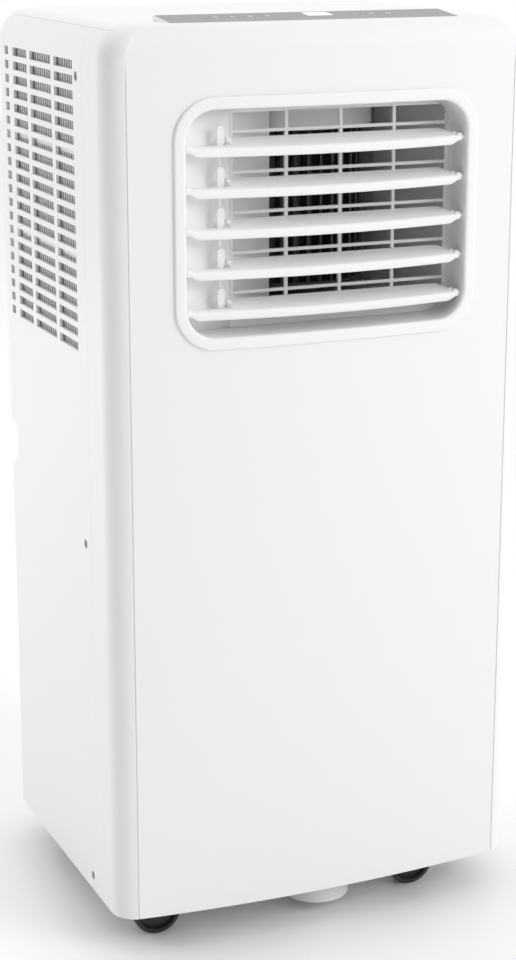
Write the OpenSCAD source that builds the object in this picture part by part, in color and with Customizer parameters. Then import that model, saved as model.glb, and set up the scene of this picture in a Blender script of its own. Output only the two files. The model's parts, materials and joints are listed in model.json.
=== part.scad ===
// Portable air conditioner on four casters.
// Origin on the floor under the middle of the casing, +Z up, front towards -Y.

/* [Casing] */
// Width across the two side walls
body_w = 336; // [334:1:340]
// Depth from the front corner creases to the back wall
body_d = 254; // [252:1:258]
// Height of the flat top above the floor
body_h = 698; // [696:1:702]
// Gap between the floor and the lower edge of the casing
floor_gap = 30; // [29:0.5:32]
// Wall thickness of the moulded casings
wall = 2.6; // [2:0.1:3]
// How far the front bows forward of its corner creases
front_bow = 9.7; // [9.5:0.1:10]
// Radius of the long edges between the top and the sides
top_side_r = 25; // [22:1:28]
// Radius of the edge between the top and the front
top_front_r = 18; // [16:1:20]

/* [Air outlet] */
// Outer width of the outlet surround
vent_w = 240; // [238:1:242]
// Outer height of the outlet surround
vent_h = 180; // [178:1:182]
// Height of the middle of the outlet above the floor
vent_z = 558.7; // [557:0.1:560]
// Width of the raised ring round the outlet
vent_ring = 9; // [8.5:0.5:9.5]
// Height step from one slat to the next
slat_pitch = 29.1; // [28.8:0.1:29.4]
// Resting tilt of the slats, front edge down
slat_tilt = 15; // [10:1:18]
// Depth of a slat from its front edge to its rear edge
slat_depth = 26; // [24:0.5:26]

/* [Side grilles] */
// Number of rows of slots
slot_rows = 20; // [16:1:20]
// Height step between rows
slot_pitch = 10.74; // [10:0.01:10.8]
// Height of one slot
slot_h = 6.4; // [5:0.1:7]
// Height of the middle of the top row
slot_top_z = 667.5; // [664:0.5:668]

/* [Casters] */
// Wheel radius
wheel_r = 19.5; // [18:0.5:19.5]
// Wheel width
wheel_w = 14; // [12:1:15]
// Distance from the swivel axis to the wheel axis
caster_trail = 16.4; // [14:0.1:17]
// Distance of the swivel axes from the middle, across the width
caster_x = 110.8; // [108:0.1:112]

/* [Exhaust] */
// Bore radius of the exhaust collar
exhaust_r = 64; // [60:1:66]
// Height of the middle of the exhaust collar
exhaust_z = 380; // [378:1:382]

/* [Hidden] */

$fn = 64;
eps = 0.01;
seam = 0.3;         // width of the gap along casing seams

// Casing outline in plan
half_w = body_w / 2;
crease_x = half_w - 14.4;
crease_y = -body_d / 2;
back_y = body_d / 2;
bow_r = (crease_x * crease_x + front_bow * front_bow) / (2 * front_bow);
bow_y = crease_y - front_bow + bow_r;
corner_r = 19.6;
corner_y = crease_y + 18.9;
back_r = 8;
front_y = crease_y - front_bow;
ring_proud = 2.2;   // how far the outlet ring stands off the front
collar_y = -(front_y - ring_proud);

// Seams between front, rear and top
side_seam_y = -79;
side_seam_r = 12;
top_seam_z = body_h - 4;
top_edge = 17.5;    // from the front face back to the seam in the top

// Control panel: a flat plate tilted towards the user
panel_origin = [0, -100, body_h + 1.3];
panel_tilt = 6.3;
panel_half_w = 113;
panel_rear = 22;
panel_front = -6.5;
panel_t = 3;
button_r = 5;
button_x = [-72, -58.6, -45.2, -31.8, 37.5, 51, 64.5];
button_y = 8;
button_cap_t = 1.8;
button_clear = 0.3;
display_x = 9.5;
display_y = 12;
display_w = 20;
display_d = 14;

// Outlet
vent_r = 31;
hole_w = vent_w - 2 * vent_ring;
hole_h = vent_h - 2 * vent_ring;
hole_r = vent_r - vent_ring;
bezel_wall = 3.5;
grid_back_y = -103.6;
grid_t = 2.4;
grid_x0 = -67;
grid_x1 = 109;
grid_z0 = 484.5;
grid_z1 = 636.5;
grid_ref_z = 562.5;     // height that the rows are counted from
grid_cols = 4;
grid_rib = 2.4;
grid_rib_pitch = slat_pitch / 2;
slat_axis_y = -126.5;
slat_mid_z = vent_z - 5;
slat_front_v = -8.5;
slat_rear_v = slat_front_v + slat_depth;
slat_strip_v = 3.5;
slat_half = hole_w / 2 - 2.7;
slat_blade_x0 = -74;
slat_blade_x1 = 104;
slat_lip_half = 101;    // half length of the lip under the front edge
slat_lip_h = 5;
slat_pin_r = 1.55;
crank_v = 12;
link_x = -78.5;
link_w = 4;
link_d = 5.2;
link_ear_w = 6.2;   // ears that stand up from the rod at every slat
link_ear_h = 15;
pin_clear = 0.06;

// Side grille columns: [rear end, front end] along the side wall
slot_cols = [[107, 98], [86, 50.5], [43, -8.3], [-15.4, -57.8]];
slot_half_rows = [6, 13];

// Handle recesses
handle_z0 = 327.4;
handle_z1 = 369.8;
handle_deep_y = 104.5;
handle_depth = 20;
handle_floor_rise = 13;     // how far the floor of the grip climbs inwards

// Screws in the side walls
screw_y = -65;
screw_z = [floor_gap + 12, 314, 660];
screw_head_r = 3;
screw_hole_r = 3.5;

// Base pan and casters
pan_z = 45;
pan_t = 3;
pan_rim_h = 25;
pan_gap = 0.4;
screen_clear = 5;   // room that the deck leaves for the side screens
stem_r = 4;
stem_boss_r = 9;
stem_boss_h = 16;
caster_front_y = -93;
caster_rear_y = 88;
caster_xy = [
  [-caster_x, caster_front_y], [caster_x, caster_front_y],
  [-caster_x, caster_rear_y], [caster_x, caster_rear_y]
];
axle_r = 2;
sump_xy = [10, -94];
sump_r = 27;
sump_z = 10;
sump_wall = 2.5;

// Insides
deck_z = 454;
pipe_r = 4;
pipe_x = [118, 132];
pipe_y = 40;
pipe_top = [600, 560];
coil_y = 92;
coil_d = 24;
coil_half = 138;
bend_step = 24;     // height from one return bend to the next
bend_tube_r = 3;
condenser_z = [78, 290];
evaporator_z = [472, 660];
fan_axis = [-60, 190];     // x and z of the condenser fan's shaft
fan_r = 70;
fan_y = [-6, 52];
duct_x = [-114, 74];
duct_z = [298, 450];
blower_xy = [17, -12];
blower_r = 62;
blower_z = [498, 618];
blower_case_r = 78;
blower_case_z = [483, 637.5];
sheet = 2;          // wall of the housings and boxes inside
shaft_r = 3;
shaft_clear = 0.05;
compressor_xy = [92, 20];
compressor_r = 52;
compressor_z = [72, 262];
dome_r = 18;        // rounding of the compressor's ends
foot_r = 58;        // from the compressor's axis to its mounting feet
accumulator_base = [24, -45, 110];
accumulator_h = 130;
control_box_corner = [-150, -112, 300];
control_box_size = [110, 46, 140];
capacitor_base = [-16, -90, 320];
capacitor_h = 80;
split_x = 134;      // from the middle to the seams in the back
rear_window_w = 250;
rear_window_z = [482, 650];
intake_z = [92, 282];       // lowest and highest intake louvre
louvre_x = [-94, -32, 30, 92];
louvre_w = 56;
louvre_h = 7;
louvre_pitch = 14;
drain_lower = [60, 62];     // x and z of the lower drain spout
drain_upper = [-120, 463];  // x and z of the upper drain spout
drain_r = 8;
cord_x = -145;
cord_z = 96;
cord_r = 4.5;
bushing_r = 7;

// ---------- shared shapes ----------

// A rectangle with true round corners, centred
module round_rect(w, h, r) {
  square([w - 2 * r, h], center = true);
  square([w, h - 2 * r], center = true);
  for (sx = [-1, 1], sy = [-1, 1])
    translate([sx * (w / 2 - r), sy * (h / 2 - r)]) circle(r);
}

// Extrudes a shape drawn in X and Z from y0 to y1
module along_y(y0, y1) {
  translate([0, y1, 0]) rotate([90, 0, 0]) linear_extrude(y1 - y0) children();
}

// Extrudes a shape drawn in Y and Z from x0 to x1
module along_x(x0, x1) {
  translate([x0, 0, 0]) rotate([90, 0, 90]) linear_extrude(x1 - x0) children();
}

// The casing in plan, before the front bow is cut
module plan_outline(inset) {
  x1 = half_w - inset;
  translate([-crease_x, -body_d]) square([2 * crease_x, body_d + back_y - inset]);
  translate([-x1, corner_y]) square([2 * x1, back_y - back_r - corner_y]);
  for (s = [-1, 1]) {
    translate([s * (half_w - corner_r), corner_y]) circle(corner_r - inset);
    translate([s * (half_w - back_r), back_y - back_r]) circle(back_r - inset);
  }
  translate([-half_w + back_r, corner_y]) square([body_w - 2 * back_r, back_y - inset - corner_y]);
}

// The casing from the front, with round upper corners
module front_outline(inset, z0) {
  x1 = half_w - inset;
  round_z = body_h - top_side_r;
  translate([-x1, z0]) square([2 * x1, round_z - z0]);
  translate([-half_w + top_side_r, z0]) square([body_w - 2 * top_side_r, body_h - inset - z0]);
  for (s = [-1, 1])
    translate([s * (half_w - top_side_r), round_z]) circle(top_side_r - inset);
}

// Body of revolution that gives the front its bow and its round upper edge
module bow_body(inset, z0) {
  round_z = body_h - top_front_r;
  translate([0, bow_y, 0]) rotate_extrude($fn = 720) {
    translate([0, z0]) square([bow_r - inset, round_z - z0]);
    translate([0, z0]) square([bow_r - top_front_r, body_h - inset - z0]);
    translate([bow_r - top_front_r, round_z]) intersection() {
      circle(top_front_r - inset);
      square(top_front_r);
    }
  }
}

// Solid casing shape, drawn in by inset, from z0 up
module body_solid(inset, z0) {
  intersection() {
    translate([0, 0, z0]) linear_extrude(body_h) plan_outline(inset);
    along_y(-body_d, body_d) front_outline(inset, z0);
    bow_body(inset, z0);
  }
}

// The casing as a thin shell, open below
module body_shell() {
  difference() {
    body_solid(0, floor_gap);
    body_solid(wall, floor_gap - 1);
  }
}

// Side view of what the front casing covers, grown by g
module front_region(g) {
  y1 = side_seam_y + g;
  z1 = top_seam_z - seam;
  translate([-body_d, 0]) square([body_d + y1, z1 - side_seam_r]);
  translate([-body_d, 0]) square([body_d + y1 - side_seam_r, z1]);
  translate([y1 - side_seam_r, z1 - side_seam_r]) circle(side_seam_r);
}

// A vertical cylinder with true bow radius, grown by g
module bow_cylinder(g, z0, z1) {
  translate([0, bow_y, z0]) cylinder(h = z1 - z0, r = bow_r + g, $fn = 720);
}

// ---------- casing ----------

module front_casing() {
  color("white") difference() {
    union() {
      intersection() {
        body_shell();
        along_x(-body_w, body_w) front_region(0);
      }
      // the round upper edge carries on up to the control panel
      difference() {
        intersection() {
          body_shell();
          translate([-body_w, -body_d, body_h - top_front_r]) cube([2 * body_w, body_d, 50]);
        }
        bow_cylinder(-top_edge, 0, 2 * body_h);
      }
      // tabs behind the side panels that take the upper side screws
      for (s = [-1, 1], z = [screw_z[1], screw_z[2]]) {
        translate([s * (half_w - wall - 1.6), screw_y - 8, z]) cube([3, 32, 16], center = true);
        translate([s * (half_w - wall), side_seam_y - 4, z]) cube([2, 6, 16], center = true);
      }
    }
    along_y(-body_d, -110) translate([0, vent_z])
      round_rect(hole_w + 2 * bezel_wall + 0.4, hole_h + 2 * bezel_wall + 0.4, hole_r + bezel_wall + 0.2);
    for (s = [-1, 1]) {
      translate([s * crease_x, crease_y, 0]) cylinder(h = body_h - 30, r = 0.8, $fn = 24);
      for (z = [screw_z[1], screw_z[2]])
        translate([s * (half_w - 10), screw_y, z]) rotate([0, 90, 0])
          cylinder(h = 20, r = 1.45, center = true, $fn = 32);
    }
  }
}

// Rows of slots in one side wall, drawn in Y and Z
module side_slots() {
  for (i = [0 : slot_rows - 1], c = slot_cols)
    translate([c[1], slot_top_z - i * slot_pitch - slot_h / 2]) square([c[0] - c[1], slot_h]);
}

// Hand grip cut into a rear corner, drawn in Y and Z and grown by g
module handle_outline(g) {
  polygon([
    [handle_deep_y - g, handle_z0 + handle_floor_rise - g], [handle_deep_y - g, handle_z1 - 3 + g],
    [handle_deep_y + 7, handle_z1 + g], [back_y + 20, handle_z1 + g],
    [back_y + 20, handle_z0 - g], [handle_deep_y + 22, handle_z0 - g]
  ]);
}

module handle_recess(s, g) {
  x_in = half_w - handle_depth - g;
  if (s > 0) along_x(x_in, half_w + 5) handle_outline(g);
  else along_x(-half_w - 5, -x_in) handle_outline(g);
}

// Shell behind the front casing and below the top cover, between x0 and x1
module rear_shell(x0, x1) {
  difference() {
    intersection() {
      body_shell();
      translate([x0, -body_d, 0]) cube([x1 - x0, 2 * body_d, top_seam_z - seam]);
    }
    along_x(-body_w, body_w) front_region(seam);
  }
}

// Side wall that turns the rear corner, with its slots and hand grip
module side_panel(s) {
  color("white") difference() {
    union() {
      if (s > 0) rear_shell(split_x, body_w);
      else rear_shell(-body_w, -split_x);
      intersection() {
        body_solid(0, floor_gap);
        handle_recess(s, wall);
      }
    }
    handle_recess(s, 0);
    along_x(s > 0 ? split_x : -body_w, s > 0 ? body_w : -split_x) side_slots();
    for (z = screw_z)
      translate([s * half_w, screw_y, z]) rotate([0, 90, 0]) cylinder(h = 20, r = screw_hole_r, center = true);
    if (s < 0)
      translate([cord_x, back_y, cord_z]) rotate([90, 0, 0]) cylinder(h = 20, r = bushing_r + 0.3, center = true);
  }
}

module rear_panel() {
  color("white") difference() {
    rear_shell(seam - split_x, split_x - seam);
    // upper window for the removable grille
    translate([-rear_window_w / 2, back_y - 10, rear_window_z[0]])
      cube([rear_window_w, 20, rear_window_z[1] - rear_window_z[0]]);
    for (z = [intake_z[0] : louvre_pitch : intake_z[1]], x = louvre_x)
      translate([x, back_y, z]) cube([louvre_w, 20, louvre_h], center = true);
    translate([0, back_y, exhaust_z]) rotate([90, 0, 0])
      cylinder(h = 20, r = exhaust_r + 3.2, center = true, $fn = 96);
    for (p = [drain_lower, drain_upper])
      translate([p[0], back_y, p[1]]) rotate([90, 0, 0]) cylinder(h = 20, r = drain_r + 0.3, center = true);
  }
}

// Places children in the control panel's own tilted plane
module on_panel() {
  translate(panel_origin) rotate([panel_tilt, 0, 0]) children();
}

// Outline of the control panel: straight ends and rear, bowed front
module panel_outline(g) {
  w = panel_half_w + g;
  intersection() {
    translate([-w, -40]) square([2 * w, 40 + panel_rear + g]);
    translate([0, panel_front - front_bow - g + bow_r]) circle(bow_r, $fn = 720);
  }
}

module top_cover() {
  color("white") difference() {
    union() {
      intersection() {
        body_shell();
        translate([-body_w, -body_d, top_seam_z]) cube([2 * body_w, 2 * body_d, 50]);
        bow_cylinder(-top_edge - seam, 0, 2 * body_h);
      }
      // wedge that carries the tilted control panel
      intersection() {
        on_panel() translate([0, 0, -9]) linear_extrude(9) panel_outline(1.5);
        translate([-body_w, -body_d, body_h - 5.5]) cube([2 * body_w, 2 * body_d, 50]);
        body_solid(1, floor_gap + 400);
      }
      intersection() {
        on_panel() translate([0, 0, -6]) linear_extrude(6) panel_outline(1.5);
        translate([-body_w, -body_d, body_h - 2]) cube([2 * body_w, 2 * body_d, 50]);
      }
    }
    on_panel() {
      translate([0, 0, -panel_t]) linear_extrude(20) panel_outline(0.2);
      for (x = button_x) translate([x, button_y, -30]) cylinder(h = 60, r = 1.8, $fn = 32);
    }
  }
}

// ---------- control panel ----------

module control_panel() {
  color("dimgray") on_panel() difference() {
    translate([0, 0, 0.05 - panel_t]) linear_extrude(panel_t - 0.05) panel_outline(0);
    for (x = button_x) translate([x, button_y, -10]) cylinder(h = 20, r = button_r + button_clear);
    translate([display_x, display_y, 0]) cube([display_w, display_d, 20], center = true);
  }
}

module display_lens() {
  color("lightgray") on_panel()
    translate([display_x - display_w / 2 + 0.1, display_y - display_d / 2 + 0.1, 0.05 - panel_t])
      cube([display_w - 0.2, display_d - 0.2, panel_t - 0.05]);
}

module button(i) {
  color("gray") on_panel() translate([button_x[i - 1], button_y, 0]) {
    translate([0, 0, -button_cap_t]) cylinder(h = button_cap_t, r = button_r);
    translate([0, 0, -8]) cylinder(h = 8 - button_cap_t + eps, r = 1.5, $fn = 32);
  }
}

module control_board() {
  color("darkgreen") on_panel() {
    translate([-95, 0, -14]) cube([180, 20, 1.6]);
    for (x = button_x) translate([x, button_y, -11]) cube([6, 6, 3], center = true);
  }
}

// ---------- air outlet ----------

module vent_bezel() {
  color("white") difference() {
    intersection() {
      bow_cylinder(ring_proud, vent_z - vent_h, vent_z + vent_h);
      union() {
        difference() {
          along_y(-body_d, -110) translate([0, vent_z]) round_rect(vent_w, vent_h, vent_r);
          bow_cylinder(0.1, vent_z - vent_h, vent_z + vent_h);
        }
        along_y(-body_d, grid_back_y) translate([0, vent_z])
          round_rect(hole_w + 2 * bezel_wall, hole_h + 2 * bezel_wall, hole_r + bezel_wall);
      }
    }
    along_y(-body_d, grid_back_y - grid_t) translate([0, vent_z]) round_rect(hole_w, hole_h, hole_r);
    translate([grid_x0 - 0.1, grid_back_y - 5, grid_z0 - 0.1])
      cube([grid_x1 - grid_x0 + 0.2, 10, grid_z1 - grid_z0 + 0.2]);
    for (i = [1 : 5])
      translate([0, slat_axis_y, slat_z(i)]) rotate([0, 90, 0])
        cylinder(h = vent_w - 14, r = slat_pin_r + pin_clear, center = true, $fn = 32);
  }
}

module vent_grid() {
  w = grid_x1 - grid_x0;
  h = grid_z1 - grid_z0;
  cell = (w - grid_rib) / grid_cols;
  color("lightgray") along_y(grid_back_y - grid_t, grid_back_y) difference() {
    translate([grid_x0, grid_z0]) square([w, h]);
    for (c = [0 : grid_cols - 1], k = [-5 : 5])
      translate([grid_x0 + grid_rib + c * cell, grid_ref_z + (k - 1) * grid_rib_pitch + grid_rib / 2])
        intersection() {
          square([cell - grid_rib, grid_rib_pitch - grid_rib]);
          translate([0, grid_z0 + grid_rib - grid_ref_z - (k - 1) * grid_rib_pitch - grid_rib / 2])
            square([cell, h - 2 * grid_rib]);
        }
  }
}

// Height of the pivot of slat i, counted from the top
function slat_z(i) = slat_mid_z + (3 - i) * slat_pitch;

// One slat with its pivot pins and its crank pin
module slat(i) {
  color("white") translate([0, slat_axis_y, slat_z(i)]) rotate([slat_tilt, 0, 0]) {
    intersection() {
      union() {
        along_x(-slat_half, slat_half)
          polygon([
            [slat_front_v, -1.6], [slat_front_v + 4, -2.1], [slat_rear_v, -1.1],
            [slat_rear_v, 1.1], [slat_front_v + 4, 2.1], [slat_front_v, 1.6]
          ]);
        // lip that hangs from the front edge
        along_x(-slat_lip_half, slat_lip_half)
          polygon([
            [slat_front_v, 0], [slat_front_v, -slat_lip_h], [slat_front_v + 2.6, -slat_lip_h],
            [slat_front_v + 4.4, -1.8], [slat_front_v + 4.4, 0]
          ]);
      }
      translate([0, 0, -10]) linear_extrude(20) {
        translate([-slat_half, -20]) square([2 * slat_half, 20 + slat_strip_v]);
        polygon([
          [slat_blade_x0, 0], [slat_blade_x0, slat_rear_v],
          [slat_blade_x1 - 5, slat_rear_v], [slat_blade_x1, slat_rear_v - 8], [slat_blade_x1, 0]
        ]);
      }
      translate([0, bow_y - slat_axis_y, -10]) cylinder(h = 20, r = bow_r - 2, $fn = 720);
    }
    rotate([0, 90, 0]) cylinder(h = 2 * slat_half + 9, r = slat_pin_r, center = true, $fn = 32);
    // ear and crank pin for the link rod
    translate([slat_blade_x0 - 0.5, crank_v, 0]) rotate([0, 90, 0]) cylinder(h = 4, r = 2.6, $fn = 32);
    translate([link_x - link_w / 2 - 0.8, crank_v, 0]) rotate([0, 90, 0])
      cylinder(h = slat_blade_x0 - link_x + link_w / 2 + 1, r = slat_pin_r, $fn = 32);
  }
}

// Rod that joins the crank pins of all the slats
module slat_link() {
  y = slat_axis_y + crank_v * cos(slat_tilt);
  dz = crank_v * sin(slat_tilt);
  color("lightgray") difference() {
    union() {
      translate([link_x - link_w / 2, y - link_d / 2, slat_z(5) + dz - 6])
        cube([link_w, link_d, 4 * slat_pitch + 12]);
      for (i = [1 : 5])
        along_y(y - link_d / 2, y + link_d / 2) translate([link_x, slat_z(i) + dz + link_ear_h / 2 - 3])
          round_rect(link_ear_w, link_ear_h, link_ear_w / 2 - 0.1);
    }
    for (i = [1 : 5])
      translate([link_x, y, slat_z(i) + dz]) rotate([0, 90, 0])
        cylinder(h = link_ear_w + 2, r = slat_pin_r + pin_clear, center = true, $fn = 32);
  }
}

// ---------- grilles, filters and fasteners on the casing ----------

// Fine screen close behind the slots of one side wall
module side_screen(s) {
  x = half_w - wall - 2.4;
  z0 = slot_top_z - (slot_rows - 1) * slot_pitch - 8;
  z1 = slot_top_z + 8;
  rail_z = [for (i = slot_half_rows) slot_top_z - i * slot_pitch + 2];
  levels = concat([z0], [rail_z[1], rail_z[0]], [z1]);
  color("gainsboro") along_x(s > 0 ? x : -x - 1.6, s > 0 ? x + 1.6 : -x) difference() {
    translate([-56.2, z0]) square([168, z1 - z0]);
    for (k = [0 : 2], j = [0 : 30])
      translate([-53.8 + j * 5.3, levels[k] + 2.5]) square([3.2, levels[k + 1] - levels[k] - 5]);
  }
}

module casing_screws() {
  color("dimgray") for (s = [-1, 1], z = screw_z)
    translate([0, screw_y, z]) rotate([0, s * 90, 0]) {
      translate([0, 0, half_w - wall + 0.05]) cylinder(h = 1.6, r = screw_head_r, $fn = 32);
      translate([0, 0, half_w - wall - 7]) cylinder(h = 7.1, r = 1.4, $fn = 24);
    }
}

module rear_grille() {
  w = rear_window_w - 0.8;
  h = rear_window_z[1] - rear_window_z[0] - 0.8;
  color("white") translate([0, 0, rear_window_z[0] + 0.4]) along_y(back_y - 3, back_y)
    difference() {
      translate([-w / 2, 0]) square([w, h]);
      for (c = [0 : 4], r = [0 : 11])
        translate([-w / 2 + 9 + c * 47, 9 + r * 12.7]) square([42, 7.4]);
    }
}

module filter_mesh() {
  w = rear_window_w - 14;
  h = rear_window_z[1] - rear_window_z[0] - 14;
  color("silver") translate([-w / 2, 0, rear_window_z[0] + 7]) along_y(back_y - 5.4, back_y - 3)
    difference() {
      square([w, h]);
      for (c = [0 : 9], r = [0 : 5])
        translate([3 + c * 23.2, 3 + r * 25]) square([20.4, 22.4]);
    }
}

module drain_plug(p) {
  color("dimgray") translate([p[0], 0, p[1]]) rotate([-90, 0, 0]) {
    translate([0, 0, back_y - 9]) cylinder(h = 9 + eps, r = drain_r);
    translate([0, 0, back_y]) cylinder(h = 3, r = drain_r + 3);
  }
}

module drain_plug_lower() drain_plug(drain_lower);
module drain_plug_upper() drain_plug(drain_upper);

// Bushing where the supply lead would pass the back wall
module cord_inlet() {
  color("dimgray") translate([cord_x, 0, cord_z]) rotate([-90, 0, 0]) difference() {
    union() {
      translate([0, 0, back_y - 8]) cylinder(h = 10, r = bushing_r);
      translate([0, 0, back_y]) cylinder(h = 4, r = bushing_r + 3);
    }
    translate([0, 0, back_y - 9]) cylinder(h = 20, r = cord_r);
  }
}

// ---------- exhaust side ----------

module exhaust_collar() {
  color("white") translate([0, 0, exhaust_z]) rotate([-90, 0, 0]) difference() {
    union() {
      translate([0, 0, back_y - 12]) cylinder(h = collar_y - back_y + 12, r = exhaust_r + 3, $fn = 96);
      translate([0, 0, back_y]) cylinder(h = 3, r = exhaust_r + 10, $fn = 96);
    }
    translate([0, 0, back_y - 20]) cylinder(h = 60, r = exhaust_r, $fn = 96);
  }
}

module exhaust_duct() {
  y0 = fan_y[0] - 6;
  y1 = back_y - 13;
  w = duct_x[1] - duct_x[0];
  h = duct_z[1] - duct_z[0];
  color("silver") difference() {
    translate([duct_x[0], y0, duct_z[0]]) cube([w, y1 - y0, h]);
    translate([duct_x[0] + sheet, y0 + sheet, duct_z[0] - 1])
      cube([w - 2 * sheet, y1 - y0 - 2 * sheet, h - sheet + 1]);
    translate([0, y1, exhaust_z]) rotate([90, 0, 0]) cylinder(h = 10, r = exhaust_r + 1, center = true, $fn = 96);
  }
}

// Outline of the condenser fan housing, drawn in X and Z and grown by g
module scroll_outline(g) {
  translate(fan_axis) circle(fan_r + 10 + g, $fn = 96);
  translate([fan_axis[0] - 50 - g, fan_axis[1]]) square([100 + 2 * g, 297.5 - fan_axis[1]]);
}

module condenser_scroll() {
  y0 = fan_y[0] - 6;
  y1 = fan_y[1] + 8;
  color("silver") difference() {
    along_y(y0, y1) scroll_outline(2);
    along_y(y0 + 2, y1 - 2) scroll_outline(0);
    translate([fan_axis[0] - 50, y0 + 2, 280]) cube([100, y1 - y0 - 4, 30]);
    translate([fan_axis[0], y1, fan_axis[1]]) rotate([90, 0, 0]) cylinder(h = 10, r = 48, center = true);
    translate([fan_axis[0], y0, fan_axis[1]]) rotate([90, 0, 0]) cylinder(h = 10, r = 8, center = true);
  }
}

// Squirrel-cage wheel standing on z = 0, with its hub plate below
module cage_wheel(r, h, blades) {
  difference() {
    union() {
      cylinder(h = 2.5, r = r, $fn = 96);
      cylinder(h = 22, r = 9);
      for (z = [0, h - 3]) translate([0, 0, z]) difference() {
        cylinder(h = 3, r = r, $fn = 96);
        translate([0, 0, -1]) cylinder(h = 5, r = r - 14, $fn = 96);
      }
      for (k = [0 : blades - 1])
        rotate([0, 0, k * 360 / blades]) translate([r - 11.5, 0, 1]) rotate([0, 0, -35])
          translate([0, -0.8, 0]) cube([11, 1.6, h - 2]);
    }
    translate([0, 0, -1]) cylinder(h = 40, r = shaft_r + shaft_clear, $fn = 32);
  }
}

module condenser_wheel() {
  color("gray") translate([fan_axis[0], fan_y[0], fan_axis[1]]) rotate([-90, 0, 0])
    cage_wheel(fan_r, fan_y[1] - fan_y[0], 24);
}

// Motor with its shaft up, mounting face at z = 0
module fan_motor(r, h, shaft) {
  translate([0, 0, -h]) cylinder(h = h, r = r);
  cylinder(h = shaft, r = shaft_r, $fn = 32);
}

module condenser_motor() {
  color("darkgray") translate([fan_axis[0], fan_y[0] - 7, fan_axis[1]]) rotate([-90, 0, 0])
    fan_motor(36, 46, 28);
}

// Finned block between two end plates
module coil(z0, z1) {
  translate([-coil_half, coil_y, z0]) cube([2 * coil_half, coil_d, z1 - z0]);
  for (s = [-1, 1])
    translate([s * (coil_half + 1) - 1, coil_y - 3, z0 - 3]) cube([2, coil_d + 6, z1 - z0 + 6]);
}

// Return bends on the ends of a coil
module return_bends(z0, z1) {
  for (s = [-1, 1], z = [z0 + 12 : bend_step : z1 - 30], y = [6, 18])
    translate([s * (coil_half + 2), coil_y + y, z + bend_step / 4]) rotate([90, 0, 0])
      rotate([0, 0, s > 0 ? -90 : 90]) rotate_extrude(angle = 180, $fn = 48)
        translate([bend_step / 4, 0]) circle(bend_tube_r, $fn = 24);
}

module condenser_coil() color("lightsteelblue") coil(condenser_z[0], condenser_z[1]);
module evaporator_coil() color("lightsteelblue") coil(evaporator_z[0], evaporator_z[1]);
module condenser_bends() color("chocolate") return_bends(condenser_z[0], condenser_z[1]);
module evaporator_bends() color("chocolate") return_bends(evaporator_z[0], evaporator_z[1]);

// ---------- blower ----------

// Plan of the blower housing, grown by g
module volute(g) {
  translate(blower_xy) circle(blower_case_r + g, $fn = 96);
  polygon([
    [grid_x0 + 3 - g, grid_back_y + 0.2], [grid_x1 - 1 + g, grid_back_y + 0.2], [grid_x1 - 1 + g, -55],
    [blower_xy[0] + blower_case_r + g, blower_xy[1]], blower_xy, [-14 - g, -72]
  ]);
}

module blower_scroll() {
  z0 = blower_case_z[0];
  z1 = blower_case_z[1];
  color("lightgray") difference() {
    translate([0, 0, z0]) linear_extrude(z1 - z0) volute(sheet);
    translate([0, 0, z0 + sheet]) linear_extrude(z1 - z0 - 2 * sheet) volute(0);
    translate([-100, grid_back_y - 50, z0 + sheet]) cube([300, 52, z1 - z0 - 2 * sheet]);
    translate([blower_xy[0], blower_xy[1], z1]) cylinder(h = 20, r = 46, center = true);
    translate([blower_xy[0], blower_xy[1], z0]) cylinder(h = 20, r = 8, center = true);
  }
}

module blower_wheel() {
  color("gray") translate([blower_xy[0], blower_xy[1], blower_z[0]])
    cage_wheel(blower_r, blower_z[1] - blower_z[0], 36);
}

module blower_motor() {
  color("darkgray") translate([blower_xy[0], blower_xy[1], blower_case_z[0] - 0.2])
    fan_motor(44, 26, 34);
}

module partition_deck() {
  color("gainsboro") difference() {
    translate([0, 0, deck_z - 2.5]) linear_extrude(17) plan_slab(wall + 0.4);
    translate([0, 0, deck_z]) linear_extrude(20) plan_slab(wall + 2.8);
    for (k = [0, 1]) translate([pipe_x[k], pipe_y + 12 * k, deck_z - 5]) cylinder(h = 10, r = pipe_r + 0.5);
    translate([drain_upper[0], back_y, drain_upper[1]]) rotate([90, 0, 0]) cylinder(h = 30, r = drain_r + 0.3, center = true);
  }
}

// Casing plan cut straight behind the outlet and inside the side screens
module plan_slab(inset) {
  x = half_w - screen_clear - inset;
  intersection() {
    plan_outline(inset);
    translate([-x, -96 + inset]) square([2 * x, 300]);
  }
}

// ---------- refrigeration ----------

module compressor() {
  h = compressor_z[1] - compressor_z[0];
  color("black") translate([compressor_xy[0], compressor_xy[1], compressor_z[0]]) {
    rotate_extrude($fn = 96) {
      square([compressor_r - dome_r, h]);
      translate([0, dome_r]) square([compressor_r, h - 2 * dome_r]);
      for (z = [dome_r, h - dome_r]) translate([compressor_r - dome_r, z]) circle(dome_r);
    }
    for (a = [90, 210, 330]) rotate([0, 0, a]) difference() {
      translate([0, -12, 0]) cube([foot_r + 8, 24, 3]);
      translate([foot_r, 0, -1]) cylinder(h = 6, r = 5.2, $fn = 32);
    }
    translate([0, 0, h - 1]) cylinder(h = 9, r = 14);
  }
}

module compressor_grommets() {
  color("dimgray") translate([compressor_xy[0], compressor_xy[1], 0])
    for (a = [90, 210, 330]) rotate([0, 0, a]) translate([foot_r, 0, pan_z + pan_t]) {
      cylinder(h = compressor_z[0] - pan_z - pan_t, r = 9, $fn = 32);
      cylinder(h = compressor_z[0] - pan_z - pan_t + 8, r = 5, $fn = 32);
    }
}

module accumulator() {
  color("black") translate(accumulator_base) {
    cylinder(h = accumulator_h, r = 19);
    translate([0, 0, -10]) cylinder(h = accumulator_h + 20, r = 8);
  }
}

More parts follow.
